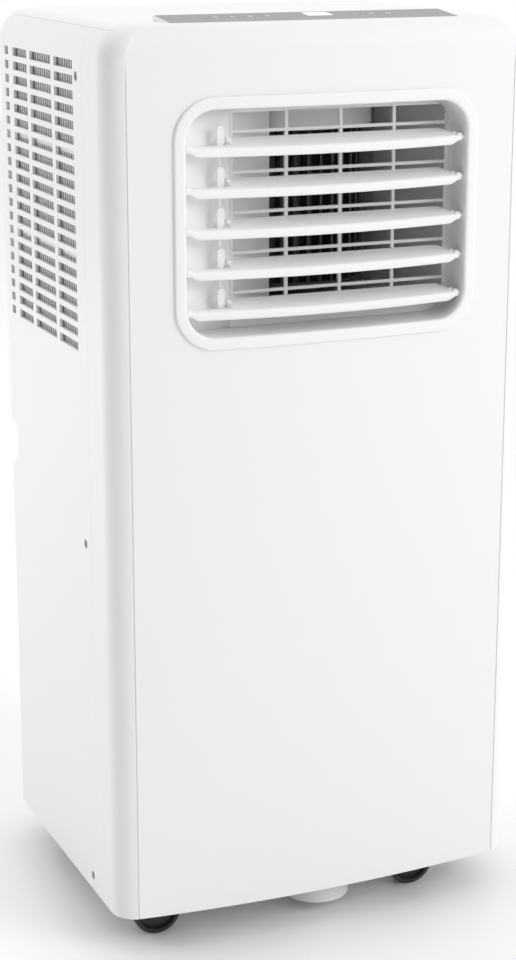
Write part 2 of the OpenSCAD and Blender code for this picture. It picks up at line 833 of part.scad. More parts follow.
// Straight pipe from point a to point b, with a brazed joint at a
module pipe(a, b) {
  d = b - a;
  translate(a) sphere(pipe_r + 0.6, $fn = 32);
  translate(a) rotate([0, acos(d[2] / norm(d)), atan2(d[1], d[0])]) cylinder(h = norm(d), r = pipe_r, $fn = 32);
}

// Lines from the compressor to the two coils
module refrigerant_pipes() {
  top = [compressor_xy[0], compressor_xy[1], compressor_z[1] + 8.2];
  bend_z = top[2] + 14;
  color("chocolate") {
    pipe([pipe_x[0], pipe_y, bend_z], [pipe_x[0], pipe_y, pipe_top[0]]);
    pipe([pipe_x[0], pipe_y, pipe_top[0]], [pipe_x[0], coil_y - 0.1, pipe_top[0]]);
    pipe([top[0], top[1], bend_z], [pipe_x[0], pipe_y, bend_z]);
    translate(top) cylinder(h = 14, r = pipe_r, $fn = 32);
    pipe([pipe_x[1], pipe_y + 12, condenser_z[1] - 8], [pipe_x[1], pipe_y + 12, pipe_top[1]]);
    pipe([pipe_x[1], pipe_y + 12, pipe_top[1]], [pipe_x[1], coil_y - 0.1, pipe_top[1]]);
    pipe([pipe_x[1], pipe_y + 12, condenser_z[1] - 8], [pipe_x[1], coil_y - 0.1, condenser_z[1] - 8]);
  }
}

module control_box() {
  color("gainsboro") difference() {
    translate(control_box_corner) cube(control_box_size);
    translate(control_box_corner + [sheet, sheet, sheet]) cube(control_box_size - 2 * [sheet, sheet, sheet]);
  }
}

module run_capacitor() {
  color("silver") translate(capacitor_base) {
    cylinder(h = capacitor_h, r = 19);
    for (x = [-6, 6]) translate([x - 3, -0.4, capacitor_h - 1]) cube([6, 0.8, 9]);
  }
}

// ---------- base and casters ----------

module base_pan() {
  color("white") difference() {
    union() {
      translate([0, 0, pan_z]) linear_extrude(pan_t) pan_plan(wall + pan_gap);
      difference() {
        translate([0, 0, pan_z]) linear_extrude(pan_rim_h) pan_plan(wall + pan_gap);
        translate([0, 0, pan_z - 1]) linear_extrude(pan_rim_h + 2) pan_plan(wall + pan_gap + 2.4);
      }
      for (p = caster_xy) translate([p[0], p[1], pan_z]) cylinder(h = stem_boss_h, r = stem_boss_r);
      // lugs that take the lowest side screws
      for (s = [-1, 1])
        translate([s * (half_w - wall - 2.1), screw_y, pan_z - 4]) cube([3, 16, 12], center = true);
    }
    for (s = [-1, 1])
      translate([s * (half_w - 10), screw_y, screw_z[0]]) rotate([0, 90, 0])
        cylinder(h = 20, r = 1.45, center = true, $fn = 32);
    translate([drain_lower[0], back_y, drain_lower[1]]) rotate([90, 0, 0]) cylinder(h = 30, r = drain_r + 0.3, center = true);
    for (p = caster_xy) translate([p[0], p[1], pan_z - 1]) cylinder(h = stem_boss_h - 1, r = stem_r + 0.06);
    translate([sump_xy[0], sump_xy[1], pan_z - 1]) cylinder(h = 10, r = sump_r - sump_wall);
  }
}

// Cup under the pan that collects the water
module drain_sump() {
  color("white") translate([sump_xy[0], sump_xy[1], sump_z]) difference() {
    cylinder(h = pan_z - sump_z, r = sump_r);
    translate([0, 0, sump_wall]) cylinder(h = pan_z, r = sump_r - sump_wall);
  }
}

// Casing plan cut by the front bow
module pan_plan(inset) {
  intersection() {
    plan_outline(inset);
    translate([0, bow_y]) circle(bow_r - inset, $fn = 720);
  }
}

// Swivelling fork with its stem and axle, wheel trailing towards -X
module caster_fork(i) {
  p = caster_xy[i - 1];
  cheek = wheel_w / 2 + 0.6;
  color("black") translate([p[0], p[1], 0]) {
    translate([0, 0, pan_z - 4]) cylinder(h = 3.6, r = 11);
    translate([0, 0, pan_z - 4]) cylinder(h = 16, r = stem_r, $fn = 48);
    translate([-caster_trail - 8, -cheek - 2, pan_z - 4]) cube([caster_trail + 12, 2 * cheek + 4, 2]);
    for (s = [-1, 1])
      translate([0, s * (cheek + 1) + 1, 0]) rotate([90, 0, 0]) linear_extrude(2) {
        translate([-caster_trail, wheel_r]) circle(7);
        polygon([
          [-caster_trail - 7, wheel_r], [-caster_trail + 7, wheel_r],
          [4, pan_z - 2.5], [-caster_trail - 8, pan_z - 2.5]
        ]);
      }
    translate([-caster_trail, 0, wheel_r]) rotate([90, 0, 0])
      cylinder(h = 2 * cheek + 1, r = axle_r, center = true, $fn = 32);
  }
}

module caster_wheel(i) {
  p = caster_xy[i - 1];
  color("black") translate([p[0] - caster_trail, p[1], wheel_r]) rotate([90, 0, 0]) difference() {
    cylinder(h = wheel_w, r = wheel_r, center = true, $fn = 96);
    cylinder(h = wheel_w + 2, r = axle_r + 0.05, center = true, $fn = 32);
    for (s = [-1, 1]) translate([0, 0, s * wheel_w / 2]) difference() {
      cylinder(h = 4, r = wheel_r - 4, center = true);
      cylinder(h = 6, r = 5, center = true);
    }
  }
}

base_pan();
drain_sump();
front_casing();
side_panel(-1);  // side_panel_left
side_panel(1);  // side_panel_right
rear_panel();
top_cover();
vent_bezel();
vent_grid();
slat(1);  // slat_1
slat(2);  // slat_2
slat(3);  // slat_3
slat(4);  // slat_4
slat(5);  // slat_5
slat_link();
control_panel();
display_lens();
control_board();
button(1);  // button_1
button(2);  // button_2
button(3);  // button_3
button(4);  // button_4
button(5);  // button_5
button(6);  // button_6
button(7);  // button_7
side_screen(-1);  // side_screen_left
side_screen(1);  // side_screen_right
casing_screws();
rear_grille();
filter_mesh();
exhaust_collar();
exhaust_duct();
condenser_scroll();
condenser_wheel();
condenser_motor();
condenser_coil();
condenser_bends();
evaporator_coil();
evaporator_bends();
blower_scroll();
blower_wheel();
blower_motor();
partition_deck();
compressor();
compressor_grommets();
accumulator();
refrigerant_pipes();
control_box();
run_capacitor();
drain_plug_lower();
drain_plug_upper();
cord_inlet();
caster_fork(1);  // caster_fork_1
caster_fork(2);  // caster_fork_2
caster_fork(3);  // caster_fork_3
caster_fork(4);  // caster_fork_4
caster_wheel(1);  // caster_wheel_1
caster_wheel(2);  // caster_wheel_2
caster_wheel(3);  // caster_wheel_3
caster_wheel(4);  // caster_wheel_4
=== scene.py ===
import json
import math

import bmesh
import bpy
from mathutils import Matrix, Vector

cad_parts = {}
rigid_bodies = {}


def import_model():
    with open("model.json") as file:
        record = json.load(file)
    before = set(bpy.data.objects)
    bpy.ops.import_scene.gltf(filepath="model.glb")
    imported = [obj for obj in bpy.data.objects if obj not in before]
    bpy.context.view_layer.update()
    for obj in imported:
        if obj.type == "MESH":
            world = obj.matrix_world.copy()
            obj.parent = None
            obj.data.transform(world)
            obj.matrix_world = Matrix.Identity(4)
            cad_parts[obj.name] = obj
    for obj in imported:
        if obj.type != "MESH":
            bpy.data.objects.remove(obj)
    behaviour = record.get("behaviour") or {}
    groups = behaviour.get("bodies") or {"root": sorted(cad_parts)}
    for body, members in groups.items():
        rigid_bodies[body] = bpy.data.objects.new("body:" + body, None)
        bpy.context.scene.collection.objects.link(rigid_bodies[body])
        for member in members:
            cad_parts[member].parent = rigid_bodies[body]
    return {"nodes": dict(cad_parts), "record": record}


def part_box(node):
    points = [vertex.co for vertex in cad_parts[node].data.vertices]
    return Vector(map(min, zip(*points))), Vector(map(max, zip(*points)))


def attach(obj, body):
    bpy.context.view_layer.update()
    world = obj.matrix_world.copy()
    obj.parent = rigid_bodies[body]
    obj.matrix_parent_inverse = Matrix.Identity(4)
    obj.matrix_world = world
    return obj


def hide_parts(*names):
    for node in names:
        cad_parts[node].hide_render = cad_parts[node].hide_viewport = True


# a factory-start file holds a default cube, lamp and camera
for leftover in list(bpy.data.objects):
    bpy.data.objects.remove(leftover)
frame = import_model()
bpy.context.view_layer.update()

MM = 0.001
NODES = frame["nodes"]

# ---------- sizes in millimetres, from the CAD frame or the same as in part.scad ----------


def box_mm(node):
    """Lowest and highest corner of a CAD node, in millimetres."""
    lo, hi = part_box(node)
    return lo / MM, hi / MM


FRONT_LO, FRONT_HI = box_mm("front_casing")
REAR_HI = box_mm("rear_panel")[1]
BEZEL_LO, BEZEL_HI = box_mm("vent_bezel")
GRID_LO, GRID_HI = box_mm("vent_grid")

HALF_W = FRONT_HI.x
BACK_Y = REAR_HI.y
TOP_Z = FRONT_HI.z
BOTTOM_Z = FRONT_LO.z
CASING_MID = (0, 0, 350)   # a point well inside the casing
WALL = 2.6            # thickness of the casing
BOW = 9.7             # how far the front bows out between its creases
CREASE_IN = 14.4      # from the side wall in to the crease
CREASE_X = HALF_W - CREASE_IN
CREASE_Y = FRONT_LO.y + BOW
BOW_R = (CREASE_X**2 + BOW**2) / (2 * BOW)
CORNER_R = 19.6       # corner band, from the crease round to the side wall
BAND_DEPTH = 18.9     # depth of the band in Y
BAND_STEPS = 14
STRIP_STEPS = 4       # columns between the side seam and the band
LID_BAND_COLS = 5     # columns of the band that the top cover takes
BACK_R = 8.0          # upright rear corners
BACK_R_STEPS = 5
TOP_SIDE_R = 25.0     # upper edge at the sides
TOP_FRONT_R = 18.0    # upper edge at the front
GROOVE_DEPTH = 1.0    # groove beside the crease
GROOVE_END = 24.0     # where the groove runs out, below the top
GROOVE_FADE = 12.0    # length over which it runs out
GROOVE_SECTION = ((0.5, 0), (0.75, 1), (1.15, 1), (1.4, 0))   # in from the crease, share of the depth
FRONT_IN = 2.0        # in from the crease to the plain part of the front
SEAM = 0.15           # gap between two mouldings
SEAM_Y = -79.0        # seam between the front casing and a side panel
SEAM_R = 12.0         # its curve under the top cover
LID_Z = TOP_Z - 4.0   # seam under the top cover
SPLIT_X = REAR_HI.x + SEAM
HANDLE_DEPTH = 20.0   # hand grips in the sides
HANDLE_Y = 104.5
HANDLE_Z0, HANDLE_Z1 = 327.4, 369.8
SLOT_ROWS = 20        # slots in the side panels
SLOT_PITCH = 10.74
SLOT_H = 6.4
SLOT_TOP = 667.5
SLOT_COLS = ((98.0, 107.0), (50.5, 86.0), (-8.3, 43.0), (-57.8, -15.4))
SCREW_Y = -65.0
SCREW_Z = (BOTTOM_Z + 12, 314.0, 660.0)
SCREW_R = 3.5
CORD_HOLE_R = 7.3
LOUVRE_X = (-94, -32, 30, 92)                      # lower intake in the rear panel
LOUVRE_Z = [92 + 14 * row for row in range(14)]
LOUVRE_HALF_W, LOUVRE_HALF_H = 28, 3.5
REACH = 10            # how far a cutting shape reaches past a wall, either way


def bow_y(x):
    """Front surface at width x."""
    return FRONT_LO.y + x * x / (2 * BOW_R)


# ---------- mesh helpers ----------


def add_piece(name, verts, faces, material, body="cabinet", sharp=32):
    """A mesh piece from points in millimetres, riding on a CAD body."""
    mesh = bpy.data.meshes.new(name)
    mesh.from_pydata([Vector(v) * MM for v in verts], [], faces)
    mesh.validate()
    bm = bmesh.new()
    bm.from_mesh(mesh)
    bmesh.ops.remove_doubles(bm, verts=bm.verts, dist=1e-6)
    bmesh.ops.recalc_face_normals(bm, faces=bm.faces)
    bm.to_mesh(mesh)
    bm.free()
    mesh.shade_smooth()
    mesh.set_sharp_from_angle(angle=math.radians(sharp))
    obj = bpy.data.objects.new(name, mesh)
    bpy.context.scene.collection.objects.link(obj)
    obj.data.materials.append(material)
    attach(obj, body)
    return obj


def bevel(obj, width, segments=2, angle=35):
    """Rounds every edge sharper than the angle and keeps the flats flat."""
    mod = obj.modifiers.new("edge", "BEVEL")
    mod.width = width * MM
    mod.segments = segments
    mod.limit_method = "ANGLE"
    mod.angle_limit = math.radians(angle)
    mod.miter_outer = "MITER_ARC"
    mod.use_clamp_overlap = True
    even = obj.modifiers.new("even", "WEIGHTED_NORMAL")
    even.keep_sharp = False
    even.weight = 60


def solidify(obj, thickness, even=True):
    """Gives a sheet its thickness, on the inside."""
    mod = obj.modifiers.new("wall", "SOLIDIFY")
    mod.thickness = thickness * MM
    mod.offset = -1.0
    mod.use_even_offset = even


def flip_outward(obj, centre, sign=1):
    """Makes the normals of an open sheet point away from a point, or towards it for a sign of -1."""
    mesh = obj.data
    c = Vector(centre) * MM
    total = sum((p.center - c).dot(p.normal) * p.area for p in mesh.polygons)
    if sign * total < 0:
        mesh.flip_normals()


def grid_faces(rows, cols, keep=lambda r, c: True, closed=False):
    """Quads of a rows by cols grid of points."""
    out = []
    last = cols if closed else cols - 1
    for r in range(rows - 1):
        for c in range(last):
            if keep(r, c):
                d = (c + 1) % cols
                out.append((r * cols + c, r * cols + d, (r + 1) * cols + d, (r + 1) * cols + c))
    return out


def box_faces(n, faces):
    """Adds the six faces of a box whose two rings of four points start at number n."""
    for f in ((3, 2, 1, 0), (4, 5, 6, 7), (0, 1, 5, 4), (1, 2, 6, 5), (2, 3, 7, 6), (3, 0, 4, 7)):
        faces.append(tuple(n + i for i in f))


def box_mesh(lo, hi, verts, faces):
    """Adds one box to the lists."""
    n = len(verts)
    for z in (lo[2], hi[2]):
        verts += [(lo[0], lo[1], z), (hi[0], lo[1], z), (hi[0], hi[1], z), (lo[0], hi[1], z)]
    box_faces(n, faces)


def oblong(cx, cz, half_w, half_h, steps=8):
    """Outline in X and Z of a plate with round ends."""
    pts = []
    for sign, start in ((1, 0), (-1, 180)):
        for k in range(steps + 1):
            a = math.radians(start + 180 * k / steps)
            pts.append((cx + half_w * math.cos(a), cz + sign * (half_h - half_w) + half_w * math.sin(a)))
    return pts


def closed_slab(near, far, verts, faces):
    """Adds a closed body between two outlines with the same count of points."""
    n = len(verts)
    count = len(near)
    verts += near + far
    faces.append(tuple(n + i for i in range(count)))
    faces.append(tuple(n + count + i for i in reversed(range(count))))
    for i in range(count):
        j = (i + 1) % count
        faces.append((n + i, n + j, n + count + j, n + count + i))


def plate_y(outline, y0, y1, verts, faces):
    """Adds a closed plate along Y from an outline in X and Z."""
    closed_slab([(x, y0, z) for x, z in outline], [(x, y1, z) for x, z in outline], verts, faces)


def prism(outline, x0, x1, verts, faces):
    """Adds a closed prism along X from an outline in Y and Z."""
    closed_slab([(x0, y, z) for y, z in outline], [(x1, y, z) for y, z in outline], verts, faces)


def ring_mesh(centre, axis, profile, steps, verts, faces, hollow=False):
    """Adds a body of revolution about an axis; the profile is (radius, distance along).

    A solid one gets flat caps at both ends of its profile, a hollow one closes its profile on itself.
    """
    axis = Vector(axis).normalized()
    u = axis.orthogonal().normalized()
    w = axis.cross(u)
    n = len(verts)
    count = len(profile)
    for s in range(steps):
        a = 2 * math.pi * s / steps
        out = u * math.cos(a) + w * math.sin(a)
        for r, d in profile:
            verts.append(tuple(Vector(centre) + out * r + axis * d))
    for s in range(steps):
        t = (s + 1) % steps
        for k in range(count if hollow else count - 1):
            m = (k + 1) % count
            faces.append((n + s * count + k, n + t * count + k, n + t * count + m, n + s * count + m))
    if not hollow:
        faces.append(tuple(n + s * count for s in range(steps)))
        faces.append(tuple(n + s * count + count - 1 for s in reversed(range(steps))))


# ---------- materials ----------


def base_material(name, colour, roughness, metallic=0.0):
    """A material, its nodes and links, and its Principled shader."""
    mat = bpy.data.materials.new(name)
    mat.use_nodes = True
    bsdf = mat.node_tree.nodes["Principled BSDF"]
    bsdf.inputs["Base Color"].default_value = (*colour, 1)
    bsdf.inputs["Roughness"].default_value = roughness
    bsdf.inputs["Metallic"].default_value = metallic
    return mat, mat.node_tree.nodes, mat.node_tree.links, bsdf


def vary(nodes, links, bsdf, socket, scale, low, high, detail=4.0, stretch=(1, 1, 1)):
    """Drives a socket with noise mapped between two values or colours."""
    coord = nodes.new("ShaderNodeTexCoord")
    mapping = nodes.new("ShaderNodeMapping")
    mapping.inputs["Scale"].default_value = stretch
    noise = nodes.new("ShaderNodeTexNoise")
    noise.inputs["Scale"].default_value = scale
    noise.inputs["Detail"].default_value = detail
    ramp = nodes.new("ShaderNodeValToRGB")
    ramp.color_ramp.elements[0].position = 0.15
    ramp.color_ramp.elements[1].position = 0.85
    low = low if isinstance(low, tuple) else (low,) * 3
    high = high if isinstance(high, tuple) else (high,) * 3
    ramp.color_ramp.elements[0].color = (*low, 1)
    ramp.color_ramp.elements[1].color = (*high, 1)
    links.new(coord.outputs["Object"], mapping.inputs["Vector"])
    links.new(mapping.outputs["Vector"], noise.inputs["Vector"])
    links.new(noise.outputs["Fac"], ramp.inputs["Fac"])
    links.new(ramp.outputs["Color"], bsdf.inputs[socket])
    return mapping


def bumpy(nodes, links, bsdf, scale, strength, distance, mapping=None):
    """Adds a fine noise bump, in object space or in a mapping's."""
    noise = nodes.new("ShaderNodeTexNoise")
    noise.inputs["Scale"].default_value = scale
    noise.inputs["Detail"].default_value = 3.0
    bump = nodes.new("ShaderNodeBump")
    bump.inputs["Strength"].default_value = strength
    bump.inputs["Distance"].default_value = distance
    if mapping:
        links.new(mapping.outputs["Vector"], noise.inputs["Vector"])
    else:
        coord = nodes.new("ShaderNodeTexCoord")
        links.new(coord.outputs["Object"], noise.inputs["Vector"])
    links.new(noise.outputs["Fac"], bump.inputs["Height"])
    links.new(bump.outputs["Normal"], bsdf.inputs["Normal"])


def plastic(name, colour, roughness, grain=420, depth=0.03, coat=0.0, tone=0.015, sheen=0.03):
    """Moulded plastic with a faint mottle, uneven sheen and fine grain."""
    mat, nodes, links, bsdf = base_material(name, colour, roughness)
    low = tuple(max(0.0, c - tone) for c in colour)
    high = tuple(min(1.0, c + tone) for c in colour)
    vary(nodes, links, bsdf, "Base Color", 6, low, high, 2.0)
    vary(nodes, links, bsdf, "Roughness", 9, roughness - sheen, roughness + sheen, 2.0)
    bumpy(nodes, links, bsdf, grain, depth, 0.0002)
    bsdf.inputs["Coat Weight"].default_value = coat
    bsdf.inputs["Coat Roughness"].default_value = 0.12
    return mat


def metal(name, colour, roughness, stretch=(1, 1, 30)):
    """Metal with drawn streaks in its colour and sheen."""
    mat, nodes, links, bsdf = base_material(name, colour, roughness, 1.0)
    low = tuple(c * 0.82 for c in colour)
    vary(nodes, links, bsdf, "Base Color", 30, low, colour, stretch=stretch)
    mapping = vary(nodes, links, bsdf, "Roughness", 60, roughness, roughness + 0.12, stretch=stretch)
    bumpy(nodes, links, bsdf, 160, 0.12, 0.0002, mapping)
    return mat


def galvanised():
    """Zinc spangle on sheet metal."""
    mat, nodes, links, bsdf = base_material("galvanised_sheet", (0.55, 0.57, 0.59), 0.45, 0.8)
    coord = nodes.new("ShaderNodeTexCoord")
    cells = nodes.new("ShaderNodeTexVoronoi")
    cells.inputs["Scale"].default_value = 90
    ramp = nodes.new("ShaderNodeValToRGB")
    ramp.color_ramp.elements[0].color = (0.42, 0.44, 0.46, 1)
    ramp.color_ramp.elements[1].color = (0.66, 0.68, 0.7, 1)
    links.new(coord.outputs["Object"], cells.inputs["Vector"])
    links.new(cells.outputs["Color"], ramp.inputs["Fac"])
    links.new(ramp.outputs["Color"], bsdf.inputs["Base Color"])
    vary(nodes, links, bsdf, "Roughness", 70, 0.35, 0.55)
    bumpy(nodes, links, bsdf, 400, 0.1, 0.0002)
    return mat


def board_green():
    """Circuit board with darker tracks."""
    mat, nodes, links, bsdf = base_material("board_green", (0.03, 0.2, 0.08), 0.35)
    coord = nodes.new("ShaderNodeTexCoord")
    brick = nodes.new("ShaderNodeTexBrick")
    brick.inputs["Scale"].default_value = 60
    brick.inputs["Color1"].default_value = (0.02, 0.16, 0.06, 1)
    brick.inputs["Color2"].default_value = (0.03, 0.22, 0.09, 1)
    brick.inputs["Mortar"].default_value = (0.4, 0.36, 0.12, 1)
    brick.inputs["Mortar Size"].default_value = 0.01
    links.new(coord.outputs["Object"], brick.inputs["Vector"])
    links.new(brick.outputs["Color"], bsdf.inputs["Base Color"])
    vary(nodes, links, bsdf, "Roughness", 80, 0.3, 0.45)
    bumpy(nodes, links, bsdf, 300, 0.15, 0.0002)
    return mat


def glow_window():
    """Pale display window with a soft inner light and faint cells."""
    mat, nodes, links, bsdf = base_material("display_window", (0.86, 0.88, 0.89), 0.12)
    vary(nodes, links, bsdf, "Base Color", 120, (0.8, 0.82, 0.84), (0.9, 0.92, 0.93))
    bumpy(nodes, links, bsdf, 500, 0.04, 0.0001)
    bsdf.inputs["Emission Color"].default_value = (0.9, 0.95, 1.0, 1)
    bsdf.inputs["Emission Strength"].default_value = 0.25
    return mat


# one for each material slot of the record
MATS = {
    "casing_white": plastic("casing_white_satin", (0.86, 0.86, 0.862), 0.3,
                            coat=0.3, tone=0.003, depth=0.01, sheen=0.012),
    "vent_white": plastic("vent_white_satin", (0.88, 0.88, 0.885), 0.32, coat=0.15, tone=0.006, depth=0.03),
    "slat_white": plastic("slat_white_satin", (0.9, 0.9, 0.9), 0.34, coat=0.1, tone=0.006, depth=0.03),
    "grid_grey": plastic("grid_grey_plastic", (0.8, 0.8, 0.8), 0.45, tone=0.02),
    "panel_grey": plastic("panel_grey_overlay", (0.3, 0.3, 0.305), 0.42,
                          grain=1500, depth=0.08, tone=0.02),
    "display": glow_window(),
    "board": board_green(),
    "screen_grey": plastic("screen_grey_plastic", (0.74, 0.74, 0.74), 0.5, tone=0.03),
    "screw_steel": metal("screw_dark_steel", (0.32, 0.32, 0.33), 0.35),
    "galvanised": galvanised(),
    "fan_grey": plastic("fan_dark_plastic", (0.06, 0.06, 0.065), 0.5, tone=0.015),
    "motor_steel": metal("motor_pressed_steel", (0.5, 0.5, 0.52), 0.35),
    "fin_aluminium": metal("fin_aluminium_sheet", (0.75, 0.77, 0.79), 0.3, stretch=(1, 1, 4)),
    "copper": metal("copper_tube", (0.72, 0.4, 0.24), 0.28, stretch=(3, 3, 3)),
    "compressor_black": plastic("compressor_black_paint", (0.025, 0.025, 0.027), 0.35,
                                tone=0.01, coat=0.3),
    "rubber_black": plastic("rubber_black_moulded", (0.03, 0.03, 0.03), 0.7, tone=0.012, depth=0.12),
    "caster_black": plastic("caster_black_nylon", (0.022, 0.022, 0.024), 0.42, tone=0.01, depth=0.08),
    "pan_white": plastic("pan_white_plastic", (0.72, 0.72, 0.72), 0.45, tone=0.02),
}


# ---------- casing ----------


VENT_MID_Z = (BEZEL_LO.z + BEZEL_HI.z) / 2
OPEN_W = BEZEL_HI.x - 4.5                         # half width of the outlet opening
OPEN_H = (BEZEL_HI.z - BEZEL_LO.z) / 2 - 4.5      # half height
OPEN_R = 26.5

# columns and rows of the casing's grid, close together where it curves
BACK_COLS = [0, 20, 40, 60, 80, 100, 120, SPLIT_X - SEAM, SPLIT_X, 146, 153]
SIDE_COLS = [112, 107, 98, 92, 86, 74, 62, 50.5, 43, 26, 9, -8.3, -15.4, -29, -43, -57.8, -68]
CORNER_STEPS = (0, 4, 8, 12, 16, 19.5, 22.5, 25, 26.5)
FRONT_COLS = [151, 146, 140, 134, 128, 122]
FRONT_COLS += [OPEN_W - OPEN_R + s for s in reversed(CORNER_STEPS)]
FRONT_COLS += [78, 66, 54, 42, 30, 18, 6, 0]
ROW_Z = [BOTTOM_Z, BOTTOM_Z + 4, 60, 90]
ROW_Z += [120 + 30 * k for k in range(11)]
for row in range(SLOT_ROWS):
    ROW_Z += [SLOT_TOP - row * SLOT_PITCH - SLOT_H / 2, SLOT_TOP - row * SLOT_PITCH + SLOT_H / 2]
ROW_Z += [VENT_MID_Z + side * (OPEN_H - OPEN_R + s) for s in CORNER_STEPS for side in (-1, 1)]
ROW_Z += [675, 677.5, 680, 682, 684, 686, 688, 690, 691.5, 692.7, LID_Z - SEAM, LID_Z]
ROW_Z += [694.8, 695.5, 696.1, 696.7, 697.2, 697.6, 697.85, 697.96, TOP_Z]


def merged(values, gap=0.04):
    """Sorted values with near twins dropped, but never the lid's own row."""
    out = []
    for v in sorted(values):
        if not out or v - out[-1] > gap * 0.999 or abs(v - LID_Z) < 1e-6:
            out.append(v)
    return out


def round_over(z, r):
    """How far an upper edge of radius r has come in at height z."""
    return r - math.sqrt(max(0.0, r**2 - max(0.0, z - (TOP_Z - r)) ** 2))


def half_ring(z):
    """Casing outline at height z on the +X side, from the back to the middle of the front."""
    inset = round_over(z, TOP_SIDE_R)
    drop = round_over(z, TOP_FRONT_R)
    side_x = HALF_W - inset
    # back wall, then the rear corner
    rear_out = side_x - BACK_R
    pts = [(min(x, rear_out), BACK_Y) for x in BACK_COLS]
    for k in range(1, BACK_R_STEPS + 1):
        a = math.radians(90 - 90 * k / BACK_R_STEPS)
        pts.append((rear_out + BACK_R * math.cos(a), BACK_Y - BACK_R + BACK_R * math.sin(a)))
    # side wall up to the seam, which curves forward under the top cover
    lift = max(0.0, z - (LID_Z - SEAM - SEAM_R))
    seam_y = SEAM_Y - SEAM_R + math.sqrt(max(0.0, SEAM_R**2 - min(lift, SEAM_R) ** 2))
    pts += [(side_x, y) for y in SIDE_COLS]
    pts += [(side_x, seam_y + SEAM), (side_x, seam_y)]
    # side strip of the front casing, then the corner band
    corner_y = CREASE_Y + BAND_DEPTH + drop
    strip_y = min(corner_y, seam_y - 1) - seam_y
    pts += [(side_x, seam_y + strip_y * k / STRIP_STEPS) for k in range(1, STRIP_STEPS)]
    corner_x = side_x - CORNER_R
    end = math.atan2(BAND_DEPTH, CREASE_X - (HALF_W - CORNER_R))
    for k in range(BAND_STEPS + 1):
        a = -end * k / BAND_STEPS
        pts.append((corner_x + CORNER_R * math.cos(a), corner_y + CORNER_R * math.sin(a)))
    # groove, then the bowed front
    edge = CREASE_X - inset
    deep = GROOVE_DEPTH * min(1.0, max(0.0, (TOP_Z - GROOVE_END - z) / GROOVE_FADE))
    section = [(edge - dx, deep * share) for dx, share in GROOVE_SECTION]
    section += [(x * (edge - FRONT_IN) / (CREASE_X - FRONT_IN), 0.0) for x in FRONT_COLS]
    front_y = CREASE_Y - BOW + drop
    pts += [(x, front_y + BOW * (x / edge) ** 2 + dy) for x, dy in section]
    return pts


def casing_points():
    """Every point, row by row, from the middle of the back round the +X side to the back again."""
    verts = []
    for z in ROW_Z:
        half = half_ring(z)
        verts += [(x, y, z) for x, y in half] + [(-x, y, z) for x, y in reversed(half[:-1])]
    return verts


ROW_Z = merged(ROW_Z)
CASING = casing_points()
PER_HALF = len(half_ring(BOTTOM_Z))
RING = 2 * PER_HALF - 1

# where each stretch starts in a half ring
I_BACK_SPLIT = BACK_COLS.index(SPLIT_X)
I_SIDE = len(BACK_COLS) + BACK_R_STEPS
I_SEAM = I_SIDE + len(SIDE_COLS)
I_BAND = I_SEAM + 2 + STRIP_STEPS - 1    # past the two columns of the seam
I_LID = I_BAND + LID_BAND_COLS


def cell_of(c):
    """Half-ring index and side of the cell that starts at ring column c."""
    if c < PER_HALF - 1:
        return c, 1
    return 2 * PER_HALF - 3 - c, -1


def in_opening(x, z):
    """True inside the round-cornered outlet opening."""
    dx = abs(x) - (OPEN_W - OPEN_R)
    dz = abs(z - VENT_MID_Z) - (OPEN_H - OPEN_R)
    if dx <= 0:
        return dz < OPEN_R
    if dz <= 0:
        return dx < OPEN_R
    return math.hypot(dx, dz) < OPEN_R


def in_slot(y, z):
    """True inside one of the side slots."""
    row = (SLOT_TOP + SLOT_H / 2 - z) / SLOT_PITCH
    if row < 0 or row >= SLOT_ROWS or (row % 1) * SLOT_PITCH > SLOT_H:
        return False
    return any(a < y < b for a, b in SLOT_COLS)


def casing_sheet(name, pts, faces):
    """A piece of the casing's skin, from the points that its faces use."""
    used = sorted({i for f in faces for i in f})
    index = {v: i for i, v in enumerate(used)}
    obj = add_piece(name, [pts[i] for i in used], [tuple(index[i] for i in f) for f in faces],
                    MATS["casing_white"], sharp=60)
    flip_outward(obj, CASING_MID)
    return obj


def casing_part(name, node, wanted):
    """One moulding of the casing: the cells that are wanted, with their wall thickness."""
    def keep(r, c):
        k, side = cell_of(c)
        z = (ROW_Z[r] + ROW_Z[r + 1]) / 2
        a, b = CASING[r * RING + c], CASING[r * RING + c + 1]
        return wanted(k, side, (a[0] + b[0]) / 2, (a[1] + b[1]) / 2, z)

    obj = casing_sheet(name, CASING, grid_faces(len(ROW_Z), RING, keep))
    solidify(obj, WALL)
    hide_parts(node)
    return obj


def is_front(k, side, x, y, z):
    """Cells of the front casing."""
    inside = k >= I_LID if z > LID_Z - SEAM else k > I_SEAM
    return inside and not (k > I_BAND + BAND_STEPS and in_opening(x, z))


def is_side(s):
    """Test for the cells of the side panel on side s."""
    def wanted(k, side, x, y, z):
        if side != s or z > LID_Z - SEAM or not I_BACK_SPLIT <= k < I_SEAM:
            return False
        return not (k >= I_SIDE and in_slot(y, z))
    return wanted


def is_back(k, side, x, y, z):
    """Cells of the rear panel."""
    return k < I_BACK_SPLIT - 1 and z < LID_Z - SEAM


def cut(obj, verts, faces, name):
    """Cuts the shapes in the lists out of a piece."""
    tool = bpy.data.meshes.new(name)
    tool.from_pydata([Vector(v) * MM for v in verts], [], faces)
    bm = bmesh.new()
    bm.from_mesh(tool)
    bmesh.ops.recalc_face_normals(bm, faces=bm.faces)
    bm.to_mesh(tool)
    bm.free()
    cutter = bpy.data.objects.new(name, tool)
    bpy.context.scene.collection.objects.link(cutter)
    mod = obj.modifiers.new("cut", "BOOLEAN")
    mod.operation = "DIFFERENCE"
    mod.solver = "EXACT"
    mod.object = cutter
    bpy.context.view_layer.update()
    apply_modifiers(obj)
    bpy.data.objects.remove(cutter)


